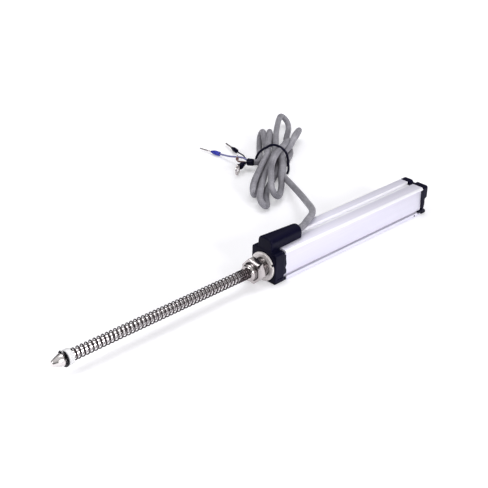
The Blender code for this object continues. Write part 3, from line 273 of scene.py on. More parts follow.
def buildGrainGroup():
    # mottled colour, roughness and height for moulded or coated surfaces
    tree, given, out = groupWith(
        "surfaceGrain",
        [("Vector", "NodeSocketVector", (0, 0, 0)), ("Light Colour", "NodeSocketColor", (0.8, 0.8, 0.8, 1)),
         ("Dark Colour", "NodeSocketColor", (0.5, 0.5, 0.5, 1)), ("Grain Size", "NodeSocketFloat", 900.0),
         ("Roughness", "NodeSocketFloat", 0.4), ("Roughness Change", "NodeSocketFloat", 0.1)], surfaceSockets)
    vector = given.outputs["Vector"]
    fine = noise(tree, vector, given.outputs["Grain Size"], grain["fineDetail"])
    broad = noise(tree, vector, grain["broadScale"], grain["broadDetail"], grain["broadRough"])
    surfaceOutputs(tree, given, out, grain, fine, broad)
    return tree


def buildLinesGroup():
    # fine lines left by drawing, turning or extruding: long along one direction, short across it
    tree, given, out = groupWith(
        "toolLines",
        [("Vector", "NodeSocketVector", (0, 0, 0)), ("Light Colour", "NodeSocketColor", (0.8, 0.8, 0.8, 1)),
         ("Dark Colour", "NodeSocketColor", (0.5, 0.5, 0.5, 1)), ("Stretch", "NodeSocketVector", (1, 1, 1)),
         ("Line Size", "NodeSocketFloat", 300.0), ("Roughness", "NodeSocketFloat", 0.3),
         ("Roughness Change", "NodeSocketFloat", 0.1)], surfaceSockets)
    scaled = tree.nodes.new("ShaderNodeVectorMath")
    scaled.operation = "MULTIPLY"
    tree.links.new(given.outputs["Vector"], scaled.inputs[0])
    tree.links.new(given.outputs["Stretch"], scaled.inputs[1])
    lines = noise(tree, scaled.outputs[0], given.outputs["Line Size"], toolLines["fineDetail"],
                  toolLines["fineRough"])
    broad = noise(tree, given.outputs["Vector"], toolLines["broadScale"], toolLines["broadDetail"])
    surfaceOutputs(tree, given, out, toolLines, lines, broad)
    return tree


grainGroup = buildGrainGroup()
linesGroup = buildLinesGroup()
bumpDepth = 0.2 * mm


def finishWith(name, group, values, bump, metallic=0.0, specular=0.5):
    # one material: a shader group's colour, roughness and height feed a Principled shader
    material = bpy.data.materials.new(name)
    material.use_nodes = True
    tree = material.node_tree
    shader = tree.nodes["Principled BSDF"]
    shader.inputs["Metallic"].default_value = metallic
    shader.inputs["Specular IOR Level"].default_value = specular
    place = tree.nodes.new("ShaderNodeTexCoord")
    surface = tree.nodes.new("ShaderNodeGroup")
    surface.node_tree = group
    for label, value in values.items():
        surface.inputs[label].default_value = value
    tree.links.new(place.outputs["Object"], surface.inputs["Vector"])
    tree.links.new(surface.outputs["Color"], shader.inputs["Base Color"])
    tree.links.new(surface.outputs["Roughness"], shader.inputs["Roughness"])
    relief = tree.nodes.new("ShaderNodeBump")
    relief.inputs["Strength"].default_value = bump
    relief.inputs["Distance"].default_value = bumpDepth
    tree.links.new(surface.outputs["Height"], relief.inputs["Height"])
    tree.links.new(relief.outputs["Normal"], shader.inputs["Normal"])
    return material


def colour(r, g, b):
    return (r, g, b, 1.0)


# The extrusion's section in millimetres: where a painted highlight lightens its rounded top edges and its groove, and
# where painted shade darkens thin lines under its steps, in its foot grooves and in its staking dimple.
# A band is its middle, its half width and its soft edge; a line is its height, half width and strength.
extrusion = {"light": (0.83, 0.81, 0.93), "dark": (0.78, 0.76, 0.88), "paintedHighlight": (0.93, 0.92, 0.97),
             "shade": (0.22, 0.21, 0.26), "edgeAcross": (8.6, 0.7, 0.12), "edgeHeight": (18.2, 1.5, 0.1),
             "grooveAcross": (0.8, 2.05, 0.08), "grooveHeight": (17.4, 1.6, 0.2), "side": (8.5, 1.0, 0.1),
             "lines": ((16.45, 0.14, 0.7), (3.25, 0.06, 0.7), (2.42, 0.06, 0.5)), "lineSoft": 0.08,
             "mark": (54.7, -9.0, 1.25), "markBand": (0.0, 0.62, 0.12)}


def bandMask(tree, value, middle, half, soft):
    # 1 inside a band of a value, falling to 0 over a soft edge; all in millimetres
    away = mathNode(tree, "ABSOLUTE", mathNode(tree, "SUBTRACT", value, middle * mm))
    return mathNode(tree, "DIVIDE", mathNode(tree, "SUBTRACT", (half + soft) * mm, away), soft * mm, True)


def buildBandsGroup():
    # painted highlights on the top edges and the groove, painted shade lines on the sides and painted shade in the
    # staking dimple, by place on the housing
    sizes = extrusion
    tree, given, out = groupWith(
        "extrusionBands",
        [("Vector", "NodeSocketVector", (0, 0, 0)), ("Color", "NodeSocketColor", (0.8, 0.8, 0.8, 1)),
         ("Painted Highlight Colour", "NodeSocketColor", (1, 1, 1, 1)),
         ("Shade Colour", "NodeSocketColor", (0.1, 0.1, 0.1, 1))],
        [("Color", "NodeSocketColor")])
    split = tree.nodes.new("ShaderNodeSeparateXYZ")
    tree.links.new(given.outputs["Vector"], split.inputs[0])
    x, y, z = split.outputs
    outward = mathNode(tree, "ABSOLUTE", y)
    edge = mathNode(tree, "MULTIPLY", bandMask(tree, outward, *sizes["edgeAcross"]),
                    bandMask(tree, z, *sizes["edgeHeight"]))
    groove = mathNode(tree, "MULTIPLY", bandMask(tree, y, *sizes["grooveAcross"]),
                      bandMask(tree, z, *sizes["grooveHeight"]))
    # painted highlight: the rounded top edges and the groove are lit white in the colour
    highlighted = mixColor(tree, mathNode(tree, "MAXIMUM", edge, groove), given.outputs["Color"],
                      given.outputs["Painted Highlight Colour"])
    side = bandMask(tree, outward, *sizes["side"])
    shade = 0.0
    # painted shade: thin dark lines under the top band's lip and in the foot grooves, on the sides only
    for middle, half, strength in sizes["lines"]:
        line = mathNode(tree, "MULTIPLY", bandMask(tree, z, middle, half, sizes["lineSoft"]), strength)
        shade = mathNode(tree, "MAXIMUM", shade, mathNode(tree, "MULTIPLY", line, side))
    # painted shade: a dark dot in the staking dimple near the rear
    far = tree.nodes.new("ShaderNodeVectorMath")
    far.operation = "DISTANCE"
    tree.links.new(given.outputs["Vector"], far.inputs[0])
    far.inputs[1].default_value = [value * mm for value in sizes["mark"]]
    mark = bandMask(tree, far.outputs["Value"], *sizes["markBand"])
    tree.links.new(mixColor(tree, mathNode(tree, "MAXIMUM", shade, mark), highlighted, given.outputs["Shade Colour"]),
                   out.inputs["Color"])
    return tree


bandsGroup = buildBandsGroup()


def housingFinish():
    material = finishWith("satinAnodising", linesGroup, {
        "Light Colour": colour(*extrusion["light"]), "Dark Colour": colour(*extrusion["dark"]),
        "Stretch": (0.02, 1.0, 1.0), "Line Size": 900.0, "Roughness": 0.4, "Roughness Change": 0.12},
        metallic=0.15, bump=0.08)
    tree = material.node_tree
    lines = next(node for node in tree.nodes if node.type == "GROUP")
    bands = tree.nodes.new("ShaderNodeGroup")
    bands.node_tree = bandsGroup
    # the colours of the painted highlight and of the painted shade
    bands.inputs["Painted Highlight Colour"].default_value = colour(*extrusion["paintedHighlight"])
    bands.inputs["Shade Colour"].default_value = colour(*extrusion["shade"])
    place = next(node for node in tree.nodes if node.type == "TEX_COORD")
    tree.links.new(place.outputs["Object"], bands.inputs["Vector"])
    tree.links.new(lines.outputs["Color"], bands.inputs["Color"])
    tree.links.new(bands.outputs["Color"], tree.nodes["Principled BSDF"].inputs["Base Color"])
    return material


finishes = {
    "anodised_aluminium": housingFinish(),
    "black_plastic": finishWith("blackMoulding", grainGroup, {
        "Light Colour": colour(0.006, 0.005, 0.021), "Dark Colour": colour(0.003, 0.003, 0.012),
        "Grain Size": 1400.0, "Roughness": 0.3, "Roughness Change": 0.15}, bump=0.12, specular=0.07),
    "black_rubber": finishWith("blackRubber", grainGroup, {
        "Light Colour": colour(0.03, 0.03, 0.032), "Dark Colour": colour(0.015, 0.015, 0.016),
        "Grain Size": 1600.0, "Roughness": 0.7, "Roughness Change": 0.1}, bump=0.2),
    "nickel_plate": finishWith("brightNickel", linesGroup, {
        "Light Colour": colour(0.66, 0.61, 0.60), "Dark Colour": colour(0.36, 0.33, 0.34),
        "Stretch": (1.0, 0.15, 0.15), "Line Size": 700.0, "Roughness": 0.14, "Roughness Change": 0.1},
        metallic=1.0, bump=0.03),
    # painted shade: a darker copy of the nickel for the thread rows, standing in for shade and dark reflections
    # between the crests
    "shaded_thread_nickel": finishWith("shadedThreadNickel", linesGroup, {
        "Light Colour": colour(0.30, 0.27, 0.27), "Dark Colour": colour(0.12, 0.11, 0.115),
        "Stretch": (1.0, 0.15, 0.15), "Line Size": 700.0, "Roughness": 0.22, "Roughness Change": 0.1},
        metallic=1.0, bump=0.03),
    "bright_steel": finishWith("turnedSteel", linesGroup, {
        "Light Colour": colour(0.84, 0.80, 0.79), "Dark Colour": colour(0.58, 0.55, 0.56),
        "Stretch": (1.0, 0.08, 0.08), "Line Size": 1100.0, "Roughness": 0.18, "Roughness Change": 0.1},
        metallic=1.0, bump=0.06),
    # painted highlight: a lighter, less metallic copy of the steel for the rod, so that it reads bright inside the
    # coil
    "lit_rod_steel": finishWith("litRodSteel", linesGroup, {
        "Light Colour": colour(0.94, 0.90, 0.91), "Dark Colour": colour(0.80, 0.75, 0.77),
        "Stretch": (1.0, 0.08, 0.08), "Line Size": 1100.0, "Roughness": 0.16, "Roughness Change": 0.08},
        metallic=0.8, bump=0.03),
    # painted light: a lighter, less metallic copy of the nickel for the washer, brightened against the shadowed floor
    # it reflects
    "lit_washer_nickel": finishWith("litWasherNickel", linesGroup, {
        "Light Colour": colour(0.92, 0.87, 0.86), "Dark Colour": colour(0.74, 0.69, 0.69),
        "Stretch": (1.0, 0.15, 0.15), "Line Size": 700.0, "Roughness": 0.22, "Roughness Change": 0.1},
        metallic=0.35, bump=0.03),
    # painted shade: a near-black copy of the steel for the spring wire, standing in for the dark look of its coils
    "shaded_spring_wire": finishWith("shadedSpringWire", linesGroup, {
        "Light Colour": colour(0.075, 0.055, 0.06), "Dark Colour": colour(0.022, 0.016, 0.018),
        "Stretch": (0.3, 1.0, 1.0), "Line Size": 1100.0, "Roughness": 0.22, "Roughness Change": 0.1},
        metallic=1.0, bump=0.04),
    "black_spring_steel": finishWith("phosphatedSteel", grainGroup, {
        "Light Colour": colour(0.02, 0.02, 0.024), "Dark Colour": colour(0.009, 0.009, 0.011),
        "Grain Size": 2000.0, "Roughness": 0.34, "Roughness Change": 0.1}, metallic=1.0, bump=0.08),
    "bronze": finishWith("sinteredBronze", grainGroup, {
        "Light Colour": colour(0.66, 0.46, 0.23), "Dark Colour": colour(0.45, 0.28, 0.12),
        "Grain Size": 2600.0, "Roughness": 0.38, "Roughness Change": 0.15}, metallic=1.0, bump=0.15),
    "white_plastic": finishWith("whiteMoulding", grainGroup, {
        "Light Colour": colour(0.86, 0.86, 0.87), "Dark Colour": colour(0.74, 0.74, 0.76),
        "Grain Size": 1300.0, "Roughness": 0.38, "Roughness Change": 0.1}, bump=0.08),
    "natural_plastic": finishWith("naturalMoulding", grainGroup, {
        "Light Colour": colour(0.76, 0.74, 0.67), "Dark Colour": colour(0.66, 0.63, 0.55),
        "Grain Size": 1300.0, "Roughness": 0.45, "Roughness Change": 0.1}, bump=0.08),
    "track_board": finishWith("coatedBoard", grainGroup, {
        "Light Colour": colour(0.06, 0.13, 0.07), "Dark Colour": colour(0.03, 0.08, 0.04),
        "Grain Size": 1800.0, "Roughness": 0.4, "Roughness Change": 0.1}, bump=0.08),
    "grey_cable_jacket": finishWith("cableJacket", grainGroup, {
        "Light Colour": colour(0.40, 0.39, 0.43), "Dark Colour": colour(0.17, 0.165, 0.19),
        "Grain Size": 1500.0, "Roughness": 0.5, "Roughness Change": 0.14}, bump=0.2, specular=0.3),
    "blue_insulation": finishWith("blueInsulation", grainGroup, {
        "Light Colour": colour(0.02, 0.035, 0.47), "Dark Colour": colour(0.012, 0.018, 0.33),
        "Grain Size": 1500.0, "Roughness": 0.36, "Roughness Change": 0.1}, bump=0.08),
    "pale_blue_insulation": finishWith("paleBlueInsulation", grainGroup, {
        "Light Colour": colour(0.27, 0.27, 0.5), "Dark Colour": colour(0.17, 0.17, 0.38),
        "Grain Size": 1500.0, "Roughness": 0.42, "Roughness Change": 0.1}, bump=0.08),
    "brown_insulation": finishWith("brownInsulation", grainGroup, {
        "Light Colour": colour(0.2, 0.055, 0.03), "Dark Colour": colour(0.12, 0.03, 0.018),
        "Grain Size": 1500.0, "Roughness": 0.42, "Roughness Change": 0.1}, bump=0.08),
}

for entry in frame["record"]["subparts"]:
    node = nodes[entry["node"]]
    node.data.materials.clear()
    node.data.materials.append(finishes[entry["material_slot"]])
print("finishes set")

# The cable: a lead from the gland over the housing's far edge, then a folded and tied hank.
# The runs are listed points in millimetres along the hank, across it and above the floor.
# Settling moves points that are "spacing" apart, but for those held at both ends, for so many rounds.
cable = {"diameter": 4.0 * mm, "exit": (-0.0402, 0.0, 0.0212), "hankCentre": (47.5, 105.0), "hankAngle": 40.0,
         "spacing": 2.5, "steps": 16, "drawnSpacing": 1.2, "drawnSteps": 4, "sides": 6, "rounds": 120, "pushes": 2,
         "fixedStart": 24, "fixedEnd": 3, "bendShare": 0.4, "hold": (0.05, 0.05, 0.025), "contact": 1.02,
         "sameStrand": 2.4, "pushShare": 0.6,
         "lead": [(-55.5, 0, 21.2), (-46, 0, 21.2), (-38.8, 0, 21.2), (-33.4, 1.4, 21.2), (-27, 4.5, 21.0),
                  (-20.4, 7.6, 20.7), (-14.8, 12, 20.0), (-10.2, 17.3, 18.7), (-6, 23, 17.2),
                  (2.4, 34.3, 14.2), (10.5, 45.8, 11.3), (18.5, 57.4, 8.4)],
         "runs": [
             # up the near side, low, bulging out past the tie
             [(-41.2, -14.6, 6), (-29, -11, 3.4), (-16, -9, 2.2), (-5, -9, 2), (5, -11.3, 2), (14, -12.3, 2),
              (23.5, -10.6, 2), (31.5, -8.4, 2), (39, -7.8, 2), (48, -8.2, 2.2), (57, -8.2, 2.4), (65, -7.1, 2.8)],
             # over the tied middle and down on the far side
             [(65, -1.9, 8.2), (54, -1.2, 9), (42, -1, 9.4), (24.5, -1.4, 10.2), (9, -2.4, 10.6), (-1, -2.6, 10.2),
              (-9, -1.8, 8.6), (-17, -0.3, 7.2), (-29, 1.2, 6.6), (-42, 1.6, 6.8), (-55, 1.8, 7), (-64.5, 1.8, 6.8),
              (-71, 1, 6.2)],
             # back, low, between the others
             [(-69, -3.2, 2), (-60, -1.8, 2), (-50, -1.2, 2), (-40, -2, 2), (-27, -4.4, 2.2), (-12.5, -5.6, 2.6),
              (-2, -5.9, 3.8), (4.5, -8.2, 5.6), (13, -10.8, 7), (24, -12.8, 8), (33, -14.8, 8.6),
              (40.5, -16.6, 8.8)],
             # down on top of all
             [(40.5, -14.4, 3), (33, -13, 3.6), (27, -11.6, 5.6), (20, -10.2, 7.4), (13, -9, 9), (2, -6.8, 11),
              (-10, -4.6, 11.8), (-19.5, -3.2, 12), (-29, -2.6, 11.6), (-39, -2.9, 10.8), (-49, -3.8, 10),
              (-58, -4.7, 9.4)],
             # up again beside it
             [(-58, -9.2, 3.4), (-44, -10, 3.6), (-32, -9.4, 4.8), (-21, -8.8, 6.6), (-9, -7.6, 7.2),
              (7, -4.6, 6), (19, -1.4, 3.6), (27, 0.8, 2.2), (33.5, 2, 2)],
             # down on the far side
             [(33.5, 3.6, 9), (24, 3.2, 9.8), (11, 2.6, 10.6), (0, 1.9, 10.8), (-11, 1.9, 10.4), (-21, 3.3, 9.6),
              (-33, 5, 9), (-46, 6.4, 8.8), (-56, 7, 8.4)],
             # back under the bundle
             [(-56, 5.4, 2), (-48, 6, 2), (-39, 6.4, 2), (-31, 6, 2), (-22, 4.4, 2), (-12, 2.2, 2.2), (-1, 1.6, 3),
              (8, 3.6, 5.2), (18, 5.6, 8), (32, 8, 9.2)],
             # and the last stretch, to the sleeve
             [(32, 10.2, 2.8), (24, 9.6, 2), (11, 8.4, 2), (3, 7.4, 2.6), (-4, 6.4, 4), (-9.5, 6.4, 5.2),
              (-12.6, 8, 5.5)]],
         "last": (30.62, 103.97, 5.53)}


def onHank(point):
    # millimetres along, across and above, as a place in millimetres in the part's frame
    angle = math.radians(cable["hankAngle"])
    along, across, height = point
    return np.array((cable["hankCentre"][0] + along * math.cos(angle) - across * math.sin(angle),
                     cable["hankCentre"][1] + along * math.sin(angle) + across * math.cos(angle), height))


def fold(before, start, end, steps=5):
    # half a circle from one run's end to the next run's start
    before, start, end = (np.array(point, dtype=float) for point in (before, start, end))
    width = end - start
    radius = np.linalg.norm(width) / 2
    width /= np.linalg.norm(width)
    ahead = start - before
    ahead -= (ahead @ width) * width
    ahead /= np.linalg.norm(ahead)
    middle = (start + end) / 2
    return [middle + radius * (math.sin(turn) * ahead - math.cos(turn) * width)
            for turn in np.linspace(0, math.pi, steps + 2)[1:-1]]


def settleCable(places):
    # the strands push each other apart to one diameter, stay bent evenly and lie on the floor
    aim, diameter = places.copy(), cable["diameter"] / mm
    order = np.arange(len(places))
    free = slice(cable["fixedStart"], -cable["fixedEnd"])
    apart = np.abs(order[:, None] - order[None, :]) * cable["spacing"] > diameter * cable["sameStrand"]
    reach = diameter * cable["contact"]
    for _ in range(cable["rounds"]):
        bend, change = np.zeros_like(places), np.zeros_like(places)
        bend[1:-1] = 0.5 * (places[:-2] + places[2:]) - places[1:-1]
        change[1:-1] = 0.5 * (bend[:-2] + bend[2:]) - bend[1:-1]
        places[free] -= (cable["bendShare"] * change)[free]
        places[free] += (aim - places)[free] * np.array(cable["hold"])
        for _ in range(cable["pushes"]):
            between = places[:, None, :] - places[None, :, :]
            gap = np.linalg.norm(between, axis=2) + 1e-9
            touching = (gap < reach) & apart
            push = np.where(touching, (reach - gap) * cable["pushShare"], 0)[:, :, None] * between / gap[:, :, None]
            places[free] += (push.sum(1) / np.maximum(touching.sum(1), 1)[:, None])[free]
        places[:, 2] = np.maximum(places[:, 2], diameter / 2)
    return places


def buildCable():
    route = [np.array(point, dtype=float) for point in cable["lead"]]
    for index, run in enumerate(cable["runs"]):
        route += [onHank(point) for point in run]
        if index + 1 < len(cable["runs"]):
            route += [onHank(point) for point in fold(run[-2], run[-1], cable["runs"][index + 1][0])]
    route.append(np.array(cable["last"]))
    places = settleCable(spaced(curveThrough(route, cable["steps"]), cable["spacing"]))
    places = spaced(curveThrough(places, cable["drawnSteps"]), cable["drawnSpacing"]) * mm
    item = roundCord("cable", places, cable["diameter"], cable["sides"])
    item.data.materials.append(finishes["grey_cable_jacket"])
    return item, float(np.linalg.norm(np.diff(places, axis=0), axis=1).sum())


# The wires at the cable's end, from the sleeve to their ferrules and the ring terminal, in millimetres
wires = {
    "wireBlack": {"node": "wire_black", "slot": "black_plastic", "diameter": 1.0, "points": [
        (29.86, 109.14, 5.4), (31.2, 112.5, 5.4), (35, 118.2, 4.4), (38.2, 125.2, 3), (40.4, 130, 2.1)]},
    "wireBlue": {"node": "wire_blue", "slot": "pale_blue_insulation", "diameter": 1.2, "points": [
        (28.86, 108.7, 6.27), (28.8, 112, 6.6), (28.8, 117, 5.6), (29.2, 125.5, 3.2), (29, 134.4, 1.9)]},
    "wireBrown": {"node": "wire_brown", "slot": "brown_insulation", "diameter": 1.0, "points": [
        (29.4, 108.92, 4.07), (29.7, 111.5, 3.6), (29.7, 114.2, 2.8), (28.7, 116.3, 2.7), (27.5, 116.3, 3.8),
        (26.9, 115.8, 4.6)]},
    "wireShield": {"node": "wire_shield", "slot": "black_plastic", "diameter": 2.0, "points": [
        (27.57, 108.14, 4.47), (26.6, 109, 4.4), (25, 108.8, 4.2)]}}
wireDrawing = {"steps": 12, "spacing": 0.5, "sides": 3}


def buildWires():
    made = []
    for name, sizes in wires.items():
        places = spaced(curveThrough(sizes["points"], wireDrawing["steps"]), wireDrawing["spacing"]) * mm
        item = roundCord(name, places, sizes["diameter"] * mm, wireDrawing["sides"])
        item.data.materials.append(finishes[sizes["slot"]])
        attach(item, "housing")
        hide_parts(sizes["node"])
        made.append(item)
    return made


# The black tie round the hank, with one loose end on the floor beside it
tie = {"diameter": 1.6 * mm, "steps": 12, "spacing": 0.8, "sides": 3, "points": [
    (-17, -12.2, 0.9), (-12.5, -12.6, 1.1), (-8.6, -12.4, 1.7), (-6, -11.9, 3.2), (-5, -11.6, 5.6), (-5, -11, 8.2),
    (-5, -9.9, 10.6), (-5, -7.9, 12.8), (-5, -5.3, 14.3), (-5, -2.3, 15.1), (-5, 0.4, 14.6), (-5, 2.8, 13.1),
    (-5, 5.2, 11.4), (-5, 7.6, 9), (-5, 9.2, 5.6), (-5, 9.6, 2.6), (-5, 8.6, 0.75), (-5, 4, 0.65), (-5, -3, 0.65),
    (-5, -9, 0.65), (-4.6, -11, 1), (-3.6, -12, 2.4), (-3.2, -11.9, 4.4)]}


def buildTie():
    places = spaced(curveThrough([onHank(point) for point in tie["points"]], tie["steps"]), tie["spacing"]) * mm
    item = roundCord("cableTie", places, tie["diameter"], tie["sides"])
    item.data.materials.append(finishes["black_plastic"])
    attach(item, "housing")
    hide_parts("cable_tie")
    return item


# The CAD nodes that lie on the cable as they are, with their edges rounded
endPieces = {
    "end_sleeve": "endSleeve", "ferrule_black_sleeve": "ferruleBlackSleeve", "ferrule_black_pin": "ferruleBlackPin",
    "ferrule_blue_sleeve": "ferruleBlueSleeve", "ferrule_blue_pin": "ferruleBluePin",
    "ferrule_brown_sleeve": "ferruleBrownSleeve", "ferrule_brown_pin": "ferruleBrownPin",
    "ring_terminal_sleeve": "ringTerminalSleeve", "ring_terminal": "ringTerminal"}
endRounding = 0.08 * mm

cablePiece, cableLength = buildCable()
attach(cablePiece, "housing")
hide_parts("cable_lead", "cable_hank")
onCable = buildWires() + [buildTie()]
for nodeName, pieceName in endPieces.items():
    onCable.append(softened(nodeName, pieceName, "housing", endRounding))
print("cable laid, %.3f m" % cableLength)

# The return spring: an open coil with closed turns at the bushing
spring = {"start": -191.3 * mm, "end": -78.7 * mm, "axisHeight": 8.3 * mm, "coilRadius": 2.8 * mm,
          "wireRadius": 0.35 * mm, "wireSides": 10, "openTurns": 43, "closedTurns": 4, "closedPitch": 1.3 * mm,
          "pointsPerTurn": 26, "stroke": 75 * mm}


def springTree():
    tree = bpy.data.node_groups.new("coilSpring", "GeometryNodeTree")
    tree.interface.new_socket(name="Geometry", in_out="INPUT", socket_type="NodeSocketGeometry")
    turns = spring["openTurns"] + spring["closedTurns"] + 1
    start, end = spring["start"] + spring["wireRadius"], spring["end"] - spring["wireRadius"]
    openPitch = (end - start - spring["closedPitch"] * (spring["closedTurns"] + 1)) / spring["openTurns"]
    values = {"Start": start, "Axis Height": spring["axisHeight"], "Coil Radius": spring["coilRadius"],
              "Wire Radius": spring["wireRadius"], "Open Turns": float(spring["openTurns"]),
              "All Turns": float(turns), "Closed Pitch": spring["closedPitch"], "Open Pitch": openPitch}
    sockets = {label: tree.interface.new_socket(name=label, in_out="INPUT", socket_type="NodeSocketFloat")
               for label in values}
    count = tree.interface.new_socket(name="Points", in_out="INPUT", socket_type="NodeSocketInt")
    paint = tree.interface.new_socket(name="Material", in_out="INPUT", socket_type="NodeSocketMaterial")
    tree.interface.new_socket(name="Geometry", in_out="OUTPUT", socket_type="NodeSocketGeometry")
    given = tree.nodes.new("NodeGroupInput").outputs
    line = tree.nodes.new("GeometryNodeCurvePrimitiveLine")
    line.inputs["End"].default_value = (1.0, 0.0, 0.0)
    points = tree.nodes.new("GeometryNodeResampleCurve")
    points.mode = "COUNT"
    tree.links.new(line.outputs["Curve"], points.inputs["Curve"])
    tree.links.new(given["Points"], points.inputs["Count"])
    share = tree.nodes.new("GeometryNodeSplineParameter").outputs["Factor"]
    turn = mathNode(tree, "MULTIPLY", share, given["All Turns"])
    firstTurn = mathNode(tree, "MINIMUM", turn, 1.0)
    later = mathNode(tree, "SUBTRACT", turn, 1.0)
    openTurn = mathNode(tree, "MINIMUM", mathNode(tree, "MAXIMUM", later), given["Open Turns"])
    lastTurn = mathNode(tree, "MAXIMUM", mathNode(tree, "SUBTRACT", later, given["Open Turns"]))
    closed = mathNode(tree, "MULTIPLY", mathNode(tree, "ADD", firstTurn, lastTurn), given["Closed Pitch"])
    along = mathNode(tree, "ADD", given["Start"],
                     mathNode(tree, "ADD", closed, mathNode(tree, "MULTIPLY", openTurn, given["Open Pitch"])))
    angle = mathNode(tree, "MULTIPLY", turn, 2 * math.pi)
    place = tree.nodes.new("ShaderNodeCombineXYZ")
    tree.links.new(along, place.inputs["X"])
    tree.links.new(mathNode(tree, "MULTIPLY", mathNode(tree, "SINE", angle), given["Coil Radius"]),
                   place.inputs["Y"])
    tree.links.new(mathNode(tree, "ADD", given["Axis Height"],
                            mathNode(tree, "MULTIPLY", mathNode(tree, "COSINE", angle), given["Coil Radius"])),
                   place.inputs["Z"])
    moved = tree.nodes.new("GeometryNodeSetPosition")
    tree.links.new(points.outputs["Curve"], moved.inputs["Geometry"])
    tree.links.new(place.outputs["Vector"], moved.inputs["Position"])
    ring = tree.nodes.new("GeometryNodeCurvePrimitiveCircle")
    ring.inputs["Resolution"].default_value = spring["wireSides"]
    tree.links.new(given["Wire Radius"], ring.inputs["Radius"])
    swept = tree.nodes.new("GeometryNodeCurveToMesh")
    swept.inputs["Fill Caps"].default_value = True
    tree.links.new(moved.outputs["Geometry"], swept.inputs["Curve"])
    tree.links.new(ring.outputs["Curve"], swept.inputs["Profile Curve"])
    real = tree.nodes.new("GeometryNodeRealizeInstances")
    tree.links.new(swept.outputs["Mesh"], real.inputs["Geometry"])
    painted = tree.nodes.new("GeometryNodeSetMaterial")
    tree.links.new(real.outputs["Geometry"], painted.inputs["Geometry"])
    tree.links.new(given["Material"], painted.inputs["Material"])
    tree.links.new(painted.outputs["Geometry"], tree.nodes.new("NodeGroupOutput").inputs["Geometry"])
    settings = {sockets[label].identifier: value for label, value in values.items()}
    settings[count.identifier] = turns * spring["pointsPerTurn"] + 1
    # the spring wire's near-black finish is painted shade
    settings[paint.identifier] = finishes["shaded_spring_wire"]
    return tree, settings


def buildSpring():
    item = pieceFrom("returnSpring", bpy.data.meshes.new("returnSpring"))
    tree, settings = springTree()
    coil = item.modifiers.new("coil", "NODES")
    coil.node_group = tree
    for identifier, value in settings.items():
        coil[identifier] = value
    plainMesh(item)
    item.data.shade_smooth()
    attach(item, "housing")
    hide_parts("return_spring")
    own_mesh(item)


buildSpring()
print("spring coiled")

# The threaded bushing, with a real helical thread, a domed nose and an open bore, in millimetres
bushing = {"back": -54.8, "neckRadius": 3.9, "neckEnd": -65.5, "threadBack": -65.8, "threadFront": -76.5,
           "radius": 5.0, "pitch": 1.0, "depth": 0.55, "flank": 1.6, "root": 0.3, "fadeFront": 0.5, "fadeBack": 0.7,
           "nose": -78.4, "noseRadius": 3.65, "chamfer": 0.2, "domeRows": 10, "lipRadius": 2.4, "lipDepth": 1.2,
           "boreRadius": 3.0, "sides": 72, "rowsPerPitch": 8, "axisHeight": 8.3, "sharpOver": 32}


def threadedRadius(x, share):
    # one start of a 60 degree thread, cut off flat at its crest and root, fading out at both ends
    sizes = bushing
    phase = ((x - sizes["threadFront"]) / sizes["pitch"] + share) % 1.0
    wave = min(1.0, max(0.0, sizes["flank"] * abs(2 * phase - 1) - sizes["root"]))
    fade = max(0.0, min(1.0, (x - sizes["threadFront"]) / sizes["fadeFront"],
                        (sizes["threadBack"] - x) / sizes["fadeBack"]))
    return sizes["radius"] - sizes["depth"] + sizes["depth"] * wave * fade


def buildBushing():
    sizes = bushing
    chamfer = sizes["chamfer"]
    rows = [(x, sizes["neckRadius"], False) for x in (sizes["back"], sizes["neckEnd"], sizes["threadBack"])]
    steps = int(round((sizes["threadBack"] - sizes["threadFront"]) / sizes["pitch"] * sizes["rowsPerPitch"]))
    for step in range(steps + 1):
        rows.append((sizes["threadBack"] + (sizes["threadFront"] - sizes["threadBack"]) * step / steps, 0.0, True))
    domeBack, shoulder = sizes["threadFront"] - chamfer, sizes["radius"] - chamfer - sizes["noseRadius"]
    for turn in np.linspace(0, math.pi / 2, sizes["domeRows"]):
        rows.append((domeBack - (domeBack - sizes["nose"]) * math.sin(turn),
                     sizes["noseRadius"] + shoulder * math.cos(turn), False))
    lip = sizes["nose"] + sizes["lipDepth"]
    rows += [(sizes["nose"], sizes["lipRadius"] + chamfer, False),
             (sizes["nose"] + chamfer, sizes["lipRadius"], False),
             (lip, sizes["lipRadius"], False), (lip, sizes["boreRadius"], False),
             (sizes["back"], sizes["boreRadius"], False)]
    shape = bmesh.new()
    rings = []
    for x, radius, threaded in rows:
        ring = []
        for side in range(sizes["sides"]):
            share = side / sizes["sides"]
            reach = threadedRadius(x, share) if threaded else radius
            ring.append(shape.verts.new((x * mm, reach * math.sin(2 * math.pi * share) * mm,
                                         (sizes["axisHeight"] + reach * math.cos(2 * math.pi * share)) * mm)))
        rings.append(ring)
    for first, second in zip(rings, rings[1:] + rings[:1]):
        for side in range(sizes["sides"]):
            after = (side + 1) % sizes["sides"]
            shape.faces.new((first[side], first[after], second[after], second[side]))
    bmesh.ops.recalc_face_normals(shape, faces=shape.faces)
    mesh = bpy.data.meshes.new("threadedBushing")
    shape.to_mesh(mesh)
    shape.free()
    item = pieceFrom("threadedBushing", mesh)
    mesh.materials.append(finishes["nickel_plate"])
    # the thread rows take the darker nickel, painted shade in the thread
    mesh.materials.append(finishes["shaded_thread_nickel"])
    for face in mesh.polygons:
        if sizes["threadFront"] < face.center.x / mm < sizes["threadBack"]:
            face.material_index = 1
    shadeSoft(item, sizes["sharpOver"])
    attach(item, "housing")
    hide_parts("threaded_bushing")


buildBushing()
print("bushing threaded")

